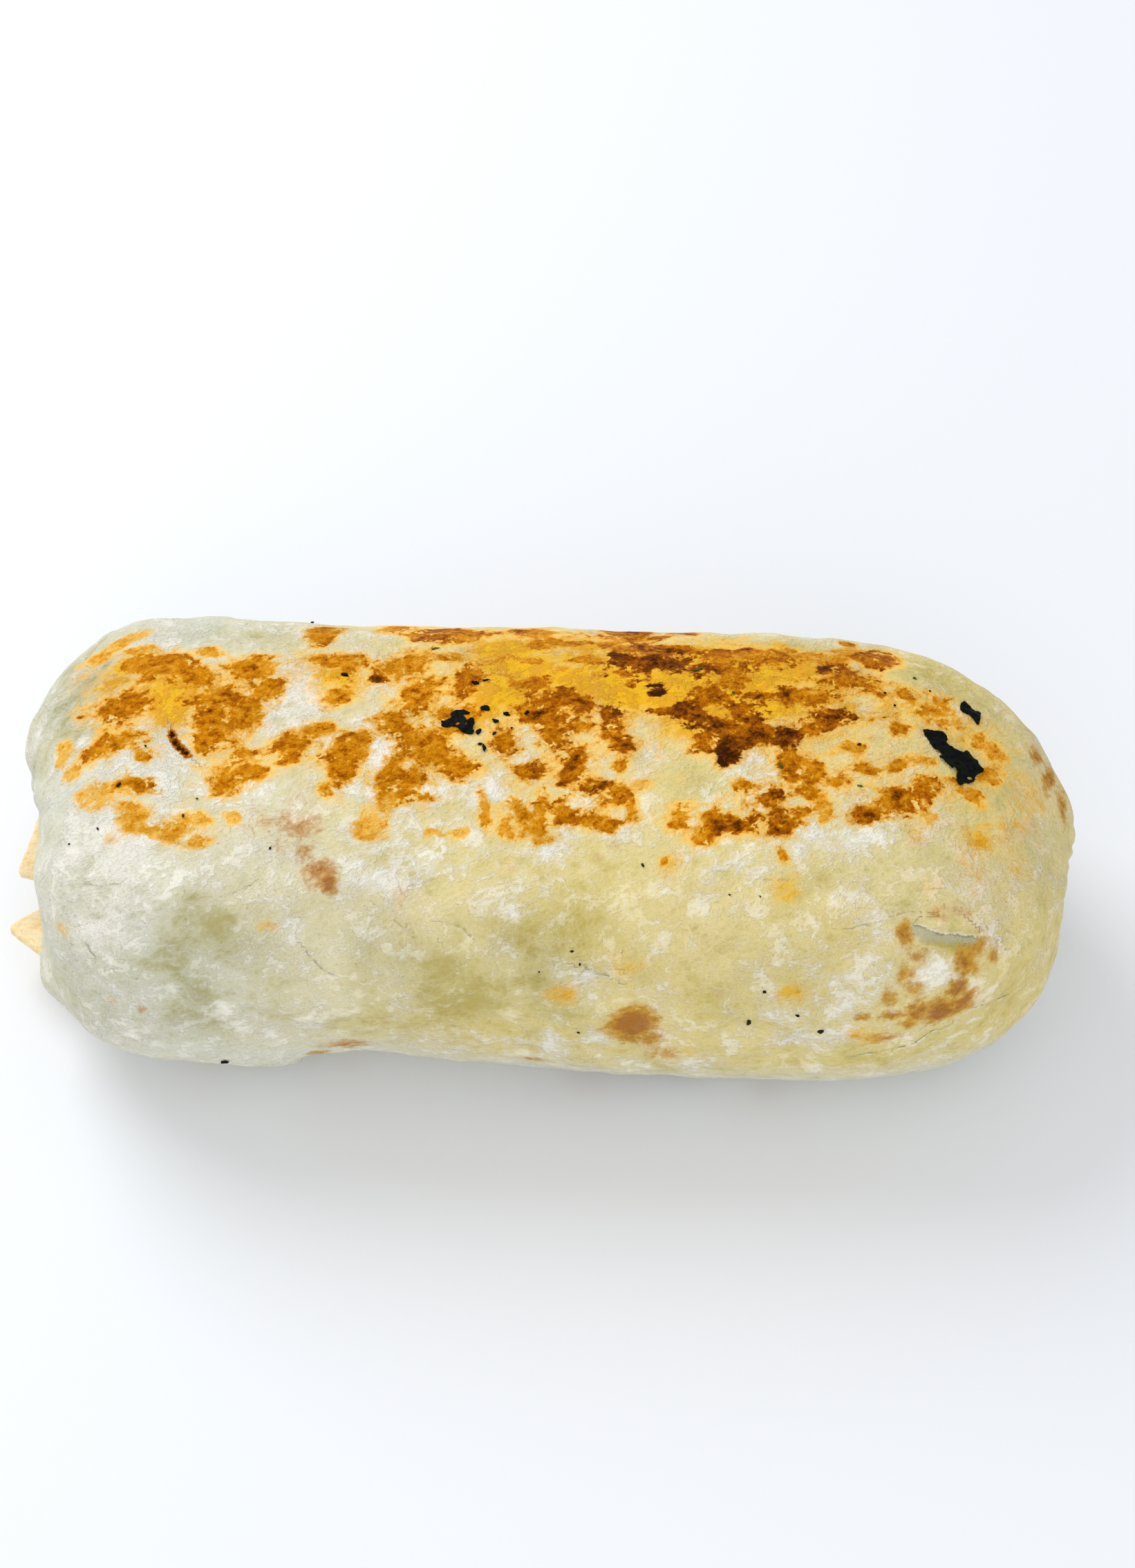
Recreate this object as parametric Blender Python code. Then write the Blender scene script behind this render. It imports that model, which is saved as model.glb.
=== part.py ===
"""A whole, uncut burrito that was pressed on a griddle.

Pieces: the rolled tortilla, solid because nothing inside it shows; two cheese slices whose corners
stick out of its left end; and one large charred leaf stuck to its top. Metres, +Z up. The roll lies
along X, its near side faces -Y, and it rests on its flattened underside. The origin is the middle of
the bottom of the box round everything.
"""

import math

import bmesh
import bpy
import numpy as np
from mathutils import Matrix, Vector

MM = 0.001
GAP = 0.3 * MM  # air between solids that would touch

# The roll
ROLL_LENGTH = 196 * MM
ROLL_WIDTH = 84 * MM
ROLL_HEIGHT = 59 * MM
WAIST_HEIGHT = 29 * MM  # where the cross-section is widest, above the table
BASE_SQUASH = 3.3 * MM  # how far the round underside is pressed flat, more than a layer's thickness
AROUND, ALONG = 64, 48  # faces round the roll and from end to end
GIRTH_STEPS = 4000  # fineness of the curves that the faces are spaced along

# Squareness of the four quarters of the cross-section: 2 is an ellipse, more is boxier.
SQUARE_TOP_NEAR = 2.9
SQUARE_TOP_FAR = 2.7
SQUARE_BASE = 2.9

# The ends: how far each one's rounding reaches along the roll, how blunt it is, and where its middle
# lies (y, z) from the middle of the cross-section.
LEFT_REACH, LEFT_BLUNT, LEFT_MIDDLE = 30 * MM, 2.6, (3 * MM, 3 * MM)
RIGHT_REACH, RIGHT_BLUNT, RIGHT_MIDDLE = 48 * MM, 2.35, (1 * MM, 1 * MM)

# The left end is tucked in as two lobes with a slanting crease between them.
CREASE_TILT = math.radians(38)  # from level, seen from the end
CREASE_HEIGHT = 8.5 * MM  # from the middle of the end, across the crease
CREASE_DEPTH, CREASE_HALF_WIDTH = 1.6 * MM, 3 * MM
LOWER_LOBE_SETBACK = 3.8 * MM
END_DEPTH = 9 * MM  # how far along the roll the tuck is felt

# The tortilla's outer layer ends along a flap. Angles go round the roll from the middle of its top,
# over the near side: 90 degrees is the near side, 180 the underside.
LAYER_THICKNESS = 1.6 * MM
FLAP_CORNER_X = -44 * MM  # left of here the layer carries on under the roll
FLAP_CORNER_SPREAD = 4 * MM
FLAP_ANGLE_UNDER, FLAP_ANGLE_NEAR, FLAP_ANGLE_RIGHT = map(math.radians, (190, 114, 140))
FLAP_FALL_X = 95 * MM  # where the edge has sunk to FLAP_ANGLE_RIGHT
FLAP_EDGE_SOFTNESS = math.radians(5)

# Bulges and hollows of the filling: middle (x, y, z), reach along each axis, height.
SWELLS = (
    ((-66, -40, 16), (22, 14, 14), 1.5),  # belly left of the flap's corner
    ((-82, -36, 6), (10, 10, 9), -1.6),
    ((-94, -27, 18), (8, 7, 8), 3.4),  # pinched ear of the left end
    ((-97, 14, 42), (12, 12, 12), 1.6),  # upper lobe of the left end
    ((-31, -40, 14), (13, 16, 14), -2.6),  # waist right of it
    ((-8, -40, 14), (16, 15, 13), -1.4),
    ((16, -41, 18), (34, 16, 15), 0.8),
    ((-64, -3, 60), (15, 13, 12), -1.3),  # dent in the griddled top
    ((-20, 8, 60), (26, 20, 14), -0.5),
    ((30, -16, 58), (30, 16, 14), 0.3),
    ((66, -34, 34), (18, 14, 12), 1.2),  # blister on the lower right
    ((86, -30, 10), (14, 13, 12), 2.6),  # belly of the right end
    ((98, 5, 37), (8, 9, 7), 1.4),  # tuck of the right end
    ((97, -8, 27), (8, 5, 6), -0.8),
    ((40, 42, 26), (30, 16, 18), 1.0),
    ((-40, 42, 34), (24, 16, 18), -0.9),
)
TOP_SAG = 0.07  # share of the height above the waist lost by the right end
SAG_START, SAG_END = 15 * MM, 90 * MM

# Cheese slices: side, thickness, the place of the corner that shows, and how the slice is turned and
# tipped. Turn is from the corner pointing straight out.
SLICE_SIDE, SLICE_THICKNESS = 32 * MM, 2 * MM
SLICE_CORNER_RADIUS, SLICE_EDGE_RADIUS = 1.2 * MM, 0.5 * MM
LOWER_REACH, UPPER_REACH = 5.8 * MM, 4.0 * MM  # how far each corner passes the end of the roll
SLICES = {
    "cheese_slice_lower": (LOWER_REACH, (-11.5 * MM, 10 * MM), math.radians(3), math.radians(-13)),
    "cheese_slice_upper": (UPPER_REACH, (-4 * MM, 17.5 * MM), math.radians(36), math.radians(6)),
}

# The charred leaf: place on the roll (x, y) from the roll's middle, thickness, outline seen from above.
LEAF_PLACE = (74 * MM, 1.5 * MM)
LEAF_THICKNESS = 0.6 * MM
LEAF_OUTLINE = (
    (-6.0, 4.7), (-4.9, 5.1), (-3.2, 4.8), (-1.6, 4.1), (-1.2, 3.3), (-1.5, 2.4), (-0.2, 2.3),
    (2.0, 1.6), (2.7, 2.4), (3.7, 2.0), (4.8, 0.2), (6.0, -0.4), (4.6, -2.1), (4.0, -3.4),
    (3.1, -4.2), (1.5, -4.3), (1.0, -5.1), (0.1, -4.4), (0.0, -2.9), (0.5, -1.6), (-1.4, -0.4),
    (-3.2, 0.8), (-4.5, 1.2), (-4.8, 2.5), (-5.8, 3.6),
)


def clear_scene():
    for obj in list(bpy.data.objects):
        bpy.data.objects.remove(obj, do_unlink=True)


def make_material(name, colour, roughness):
    material = bpy.data.materials.new(name)
    material.use_nodes = True
    shader = material.node_tree.nodes["Principled BSDF"]
    shader.inputs["Base Color"].default_value = (*colour, 1.0)
    shader.inputs["Roughness"].default_value = roughness
    shader.inputs["Metallic"].default_value = 0.0
    material.diffuse_color = (*colour, 1.0)
    return material


def smooth_step(value, low, high):
    """0 below low and 1 above high, with a soft rise between."""
    share = np.clip((value - low) / (high - low), 0.0, 1.0)
    return share * share * (3.0 - 2.0 * share)


def even_samples(curve, shares):
    """Points at equal shares of the length of a polyline of rows."""
    steps = np.linalg.norm(np.diff(curve, axis=0), axis=1)
    run = np.concatenate(([0.0], np.cumsum(steps)))
    return [np.interp(np.asarray(shares) * run[-1], run, column) for column in curve.T]


def cross_section(shares):
    """(y, z) round the roll at its fullest, from the middle of the top over the near side."""
    angle = np.linspace(0.0, 2.0 * math.pi, GIRTH_STEPS)
    across, up = np.sin(angle), np.cos(angle)
    top = np.where(across >= 0, SQUARE_TOP_NEAR, SQUARE_TOP_FAR)
    power = 2.0 / np.where(up >= 0, top, SQUARE_BASE)
    rise = np.where(up >= 0, ROLL_HEIGHT - WAIST_HEIGHT, WAIST_HEIGHT + BASE_SQUASH)
    y = -ROLL_WIDTH / 2 * np.sign(across) * np.abs(across) ** power
    z = rise * np.sign(up) * np.abs(up) ** power
    return even_samples(np.stack((y, z), axis=1), shares)


def end_curve(reach, blunt):
    """(distance from the tip, share of full girth) over one rounded end."""
    angle = np.linspace(0.0, math.pi / 2, GIRTH_STEPS)
    power = 2.0 / blunt
    return reach * (1.0 - np.cos(angle) ** power), np.sin(angle) ** power


def roll_profile(shares):
    """(x, share of full girth) from the left tip to the right tip, evenly along the surface."""
    left, left_girth = end_curve(LEFT_REACH, LEFT_BLUNT)
    right, right_girth = end_curve(RIGHT_REACH, RIGHT_BLUNT)
    x = np.concatenate((left, ROLL_LENGTH - right[::-1])) - ROLL_LENGTH / 2
    radius = (ROLL_WIDTH + ROLL_HEIGHT) / 4
    girth = np.concatenate((left_girth, right_girth[::-1]))
    x, height = even_samples(np.stack((x, girth * radius), axis=1), shares)
    return x, height / radius


def roll_points(along, around):
    """The smooth roll: points at shares of the way along it and round it."""
    x, girth = roll_profile(along)
    y, z = cross_section(around)
    sag = 1.0 - TOP_SAG * smooth_step(x, SAG_START, SAG_END)
    to_left, to_right = np.where(x < 0, 1.0 - girth, 0.0), np.where(x < 0, 0.0, 1.0 - girth)
    y = girth * y + to_left * LEFT_MIDDLE[0] + to_right * RIGHT_MIDDLE[0]
    z = girth * z * np.where(z > 0, sag, 1.0) + to_left * LEFT_MIDDLE[1] + to_right * RIGHT_MIDDLE[1]
    return np.stack((x, y, z + WAIST_HEIGHT), axis=1)


def swell_height(points):
    """How far the filling pushes the tortilla out at each point."""
    total = np.zeros(len(points))
    for middle, reach, height in SWELLS:
        offset = (points - np.array(middle) * MM) / (np.array(reach) * MM)
        total += height * MM * np.exp(-(offset**2).sum(axis=1))
    return total


def tuck_height(points):
    """The two lobes of the left end and the crease between them."""
    depth = (points[:, 0] + ROLL_LENGTH / 2) / END_DEPTH
    felt = np.exp(-(depth**2))
    level = points[:, 2] - WAIST_HEIGHT
    across = points[:, 1] * math.cos(CREASE_TILT) + level * math.sin(CREASE_TILT) - CREASE_HEIGHT
    groove = CREASE_DEPTH * np.exp(-((across / CREASE_HALF_WIDTH) ** 2))
    setback = LOWER_LOBE_SETBACK * smooth_step(-across, 0.0, 2 * CREASE_HALF_WIDTH)
    return -felt * (groove + setback)


def layer_height(points):
    """The outer layer of tortilla, which stops at the edge of its flap."""
    x = points[:, 0]
    angle = np.arctan2(-points[:, 1], points[:, 2] - WAIST_HEIGHT) % (2.0 * math.pi)
    fall = smooth_step(x, FLAP_CORNER_X, FLAP_FALL_X)
    edge = FLAP_ANGLE_NEAR + (FLAP_ANGLE_RIGHT - FLAP_ANGLE_NEAR) * fall
    under = smooth_step(-x, -FLAP_CORNER_X, -FLAP_CORNER_X + FLAP_CORNER_SPREAD)
    edge = edge + (FLAP_ANGLE_UNDER - edge) * under
    past = smooth_step(angle, edge, edge + FLAP_EDGE_SOFTNESS)
    back = smooth_step(angle, FLAP_ANGLE_UNDER, math.radians(250))
    return -LAYER_THICKNESS * past * (1.0 - back)


def make_roll():
    """The rolled tortilla: a sphere whose poles lie on X, carried onto the roll's form."""
    form = bmesh.new()
    poles_on_x = Matrix.Rotation(math.radians(90), 4, "Y")
    bmesh.ops.create_uvsphere(form, u_segments=AROUND, v_segments=ALONG, radius=1.0, matrix=poles_on_x)
    spots = np.array([vert.co for vert in form.verts])
    along = np.arccos(np.clip(-spots[:, 0], -1.0, 1.0)) / math.pi
    around = (np.arctan2(-spots[:, 1], spots[:, 2]) / (2.0 * math.pi)) % 1.0
    smooth = roll_points(along, around)
    for vert, place in zip(form.verts, smooth):
        vert.co = place
    bmesh.ops.recalc_face_normals(form, faces=form.faces)
    form.normal_update()
    lift = swell_height(smooth) + tuck_height(smooth) + layer_height(smooth)
    for vert, height in zip(form.verts, lift):
        vert.co += vert.normal * height
        vert.co.z = max(vert.co.z, 0.0)
    mesh = bpy.data.meshes.new("tortilla_wrap")
    form.to_mesh(mesh)
    form.free()
    mesh.shade_smooth()
    roll = bpy.data.objects.new("tortilla_wrap", mesh)
    bpy.context.collection.objects.link(roll)
    mesh.materials.append(make_material("tortilla", (0.83, 0.75, 0.53), 0.72))
    return roll


def slice_solid(name, growth):
    """A square of cheese with its first corner at the origin, pointing along -X, grown on all sides."""
    form = bmesh.new()
    bmesh.ops.create_cube(form, size=1.0)
    size = Vector((SLICE_SIDE, SLICE_SIDE, SLICE_THICKNESS))
    bmesh.ops.scale(form, vec=size, verts=form.verts)
    upright = [edge for edge in form.edges if abs(edge.verts[0].co.z - edge.verts[1].co.z) > MM]
    bmesh.ops.bevel(form, geom=upright, offset=SLICE_CORNER_RADIUS, segments=3, profile=0.5,
                    affect="EDGES")
    flats = [face for face in form.faces if abs(face.normal.z) > 0.9]
    rims = {edge for face in flats for edge in face.edges}
    bmesh.ops.bevel(form, geom=list(rims), offset=SLICE_EDGE_RADIUS, segments=1, profile=0.5,
                    affect="EDGES")
    if growth:
        grown = size + Vector((2 * growth,) * 3)
        bmesh.ops.scale(form, vec=[new / old for new, old in zip(grown, size)], verts=form.verts)
    bmesh.ops.rotate(form, matrix=Matrix.Rotation(math.radians(45), 3, "Z"), verts=form.verts)
    bmesh.ops.translate(form, vec=(SLICE_SIDE * math.sqrt(0.5), 0, 0), verts=form.verts)
    mesh = bpy.data.meshes.new(name)
    form.to_mesh(mesh)
    form.free()
    obj = bpy.data.objects.new(name, mesh)
    bpy.context.collection.objects.link(obj)
    return obj


def place_slice(obj, reach, corner, turn, tip):
    obj.location = (-ROLL_LENGTH / 2 - reach, *corner)
    obj.rotation_euler = (tip, 0, turn)


def make_slices(roll):
    """The two slices, each in a slot that the roll is cut with."""
    cheese = make_material("cheese", (0.93, 0.70, 0.30), 0.45)
    slices = []
    for name, (reach, corner, turn, tip) in SLICES.items():
        piece = slice_solid(name, 0.0)
        piece.data.materials.append(cheese)
        place_slice(piece, reach, corner, turn, tip)
        slot = slice_solid(name + "_slot", GAP)
        slot.hide_render = True
        slot.display_type = "WIRE"
        place_slice(slot, reach, corner, turn, tip)
        cut = roll.modifiers.new(name + "_slot", "BOOLEAN")
        cut.operation = "DIFFERENCE"
        cut.solver = "EXACT"
        cut.object = slot
        slices.append(piece)
    return slices


def make_leaf(roll):
    """A stiff flake of burnt leaf that lies on the roll's top, touching at its middle."""
    form = bmesh.new()
    rim = [form.verts.new((x * MM, y * MM, 0.0)) for x, y in LEAF_OUTLINE]
    sheet = form.faces.new(rim)
    sheet.normal_update()
    grown = bmesh.ops.extrude_face_region(form, geom=[sheet])
    lifted = [item for item in grown["geom"] if isinstance(item, bmesh.types.BMVert)]
    bmesh.ops.translate(form, vec=(0, 0, LEAF_THICKNESS), verts=lifted)
    bmesh.ops.recalc_face_normals(form, faces=form.faces)
    mesh = bpy.data.meshes.new("charred_leaf")
    form.to_mesh(mesh)
    form.free()
    leaf = bpy.data.objects.new("charred_leaf", mesh)
    bpy.context.collection.objects.link(leaf)
    mesh.materials.append(make_material("charred_leaf", (0.012, 0.016, 0.012), 0.6))

    above = Vector((*LEAF_PLACE, 2 * ROLL_HEIGHT))
    hit, spot, normal, _ = roll.ray_cast(above, Vector((0, 0, -1)))
    if not hit:
        raise RuntimeError("the leaf's place is not over the roll")
    leaf.location = spot + normal * 2 * GAP
    leaf.rotation_euler = Vector((0, 0, 1)).rotation_difference(normal).to_euler()
    return leaf


def stand_on_origin(pieces):
    """Moves everything together so that the middle of the box's bottom is the origin."""
    bpy.context.view_layer.update()
    graph = bpy.context.evaluated_depsgraph_get()
    corners = []
    for piece in pieces:
        shown = piece.evaluated_get(graph)
        corners += [shown.matrix_world @ vert.co for vert in shown.data.vertices]
    low = Vector(map(min, zip(*corners)))
    high = Vector(map(max, zip(*corners)))
    shift = Vector((-(low.x + high.x) / 2, -(low.y + high.y) / 2, -low.z))
    for obj in bpy.data.objects:
        obj.location += shift


def main():
    clear_scene()
    roll = make_roll()
    leaf = make_leaf(roll)
    slices = make_slices(roll)
    stand_on_origin([roll, leaf, *slices])


main()
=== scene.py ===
"""The finish of a whole burrito that was pressed on a griddle.

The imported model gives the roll, two cheese slices and a charred leaf. This script makes the tortilla
that shows, with its folds, cracks and griddle marks, the slices and the leaf in their real finish, and
the small things stuck to it: charred flakes, herb bits and pepper. Lengths are in metres and +Z is up.

Places on the tortilla are given as (x, s) in millimetres: x along the roll from its middle, and s round
it from the middle of its top, positive over the near side and negative over the far side.
"""

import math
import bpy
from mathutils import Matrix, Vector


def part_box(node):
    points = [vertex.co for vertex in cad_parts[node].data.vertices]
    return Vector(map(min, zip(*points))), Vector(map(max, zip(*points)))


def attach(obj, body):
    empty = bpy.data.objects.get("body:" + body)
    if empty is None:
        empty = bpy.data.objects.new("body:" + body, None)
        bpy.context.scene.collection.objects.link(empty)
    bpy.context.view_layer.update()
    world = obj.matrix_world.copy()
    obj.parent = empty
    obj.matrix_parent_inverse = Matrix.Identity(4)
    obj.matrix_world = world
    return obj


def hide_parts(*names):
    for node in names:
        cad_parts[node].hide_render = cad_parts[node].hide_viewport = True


bl_info = {
    "name": "Griddled burrito",
    "version": (1, 0, 0),
    "blender": (4, 5, 0),
    "location": "3D View > Sidebar > Burrito",
    "description": "Makes the tortilla, cheese, charred leaf and scattered bits of a griddled burrito",
    "category": "Object",
}

import bpy
import numpy as np
from mathutils import Matrix, Vector
from mathutils.bvhtree import BVHTree
from mathutils.kdtree import KDTree

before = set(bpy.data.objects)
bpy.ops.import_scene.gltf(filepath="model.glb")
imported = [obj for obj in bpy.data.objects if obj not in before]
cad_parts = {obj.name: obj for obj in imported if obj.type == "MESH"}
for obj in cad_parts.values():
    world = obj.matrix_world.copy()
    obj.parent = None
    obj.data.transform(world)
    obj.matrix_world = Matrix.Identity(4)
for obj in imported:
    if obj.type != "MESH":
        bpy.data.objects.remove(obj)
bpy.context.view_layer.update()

MM = 0.001
GAP = 0.3 * MM
WRAP_NODE, LEAF_NODE = "tortilla_wrap", "charred_leaf"

# The roll's form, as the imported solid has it.
ROLL_LENGTH, ROLL_WIDTH, ROLL_HEIGHT, WAIST_HEIGHT, BASE_SQUASH = (v * MM for v in (196, 84, 59, 29, 3.3))
SQUARE_TOP_NEAR, SQUARE_TOP_FAR, SQUARE_BASE = 2.9, 2.7, 2.9
LEFT_REACH, LEFT_BLUNT, LEFT_MIDDLE = 30 * MM, 2.6, (3 * MM, 3 * MM)
RIGHT_REACH, RIGHT_BLUNT, RIGHT_MIDDLE = 48 * MM, 2.35, (1 * MM, 1 * MM)
CREASE_TILT = math.radians(38)
CREASE_HEIGHT, CREASE_DEPTH, CREASE_HALF_WIDTH = 8.5 * MM, 1.6 * MM, 3 * MM
LOWER_LOBE_SETBACK, END_DEPTH = 3.8 * MM, 9 * MM
LAYER_THICKNESS, FLAP_CORNER_X, FLAP_CORNER_SPREAD, FLAP_FALL_X = (v * MM for v in (1.6, -44, 1.4, 95))
FLAP_ANGLE_UNDER, FLAP_ANGLE_NEAR, FLAP_ANGLE_RIGHT = map(math.radians, (190, 114, 140))
FLAP_BACK_END, FLAP_EDGE_SOFTNESS, FLAP_WANDER, LIP_SPREAD = map(math.radians, (250, 1.6, 2.0, 2.5))
LIP_HEIGHT, PAST_BOX = 0.25 * MM, 0.4 * MM
TOP_SAG, SAG_START, SAG_END = 0.07, 15 * MM, 90 * MM
GIRTH_STEPS, FRAME_SAMPLES = 4000, 240
PLEAT_SPACING, CORNER_PLEATS, END_PLEATS, END_PLEAT_COUNT, RIDGES = 3.6, 0.34, 0.24, 11, 0.07  # heights in mm
SLOT_LIP_HEIGHT, SLOT_LIP_WIDTH, SLOT_LIP_BEFORE, SLOT_LIP_PAST = 0.55 * MM, 1.1 * MM, 3 * MM, 22 * MM
# Domes of the thickest griddle blisters: x, s, reach, height, in mm.
BLISTER_DOMES = ((32.6, 0.6, 2.4, 0.35), (19, -14, 1.8, 0.3), (42.6, -3.4, 2.6, 0.3), (-5.4, 17, 1.2, 0.5))

# Bulges and hollows: middle (x, y, z), reach along each axis, height, in mm.
SWELLS = (
    ((-66, -40, 16), (22, 14, 14), 1.5),
    ((-82, -36, 6), (10, 10, 9), -2.4),
    ((-93, -31, 19), (4, 5, 4), 1.4),
    ((-50, -37, 6), (8, 8, 8), 1.2),
    ((-94, -27, 18), (8, 7, 8), 3.4),
    ((-97, 14, 42), (12, 12, 12), 1.6),
    ((-31, -40, 14), (13, 16, 14), -2.6),
    ((-8, -40, 14), (16, 15, 13), -1.4),
    ((16, -41, 18), (34, 16, 15), 0.8),
    ((-64, -3, 60), (15, 13, 12), -1.3),
    ((-20, 8, 60), (26, 20, 14), -0.5),
    ((30, -16, 58), (30, 16, 14), 0.3),
    ((66, -34, 34), (18, 14, 12), 1.2),
    ((86, -30, 10), (14, 13, 12), 2.6),
    ((98, 5, 37), (8, 9, 7), 1.4),
    ((97, -8, 27), (8, 5, 6), -1.6),
    ((92, -22, 23), (10, 9, 9), 1.6),
    ((40, 42, 26), (30, 16, 18), 1.0),
    ((-40, 42, 34), (24, 16, 18), -0.9),
)

# Cheese slices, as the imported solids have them: reach past the roll, corner (y, z), turn, tip.
SLICE_SIDE, SLICE_THICKNESS = 32 * MM, 2 * MM
SLICE_CORNER_RADIUS, SLICE_EDGE_RADIUS = 1.2 * MM, 0.5 * MM
CHEESE_VOXEL = 0.4 * MM
SLICES = {
    "cheese_slice_lower": (5.8 * MM, (-11.5 * MM, 10 * MM), math.radians(3), math.radians(-13)),
    "cheese_slice_upper": (4.0 * MM, (-4 * MM, 17.5 * MM), math.radians(36), math.radians(6)),
}

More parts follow.
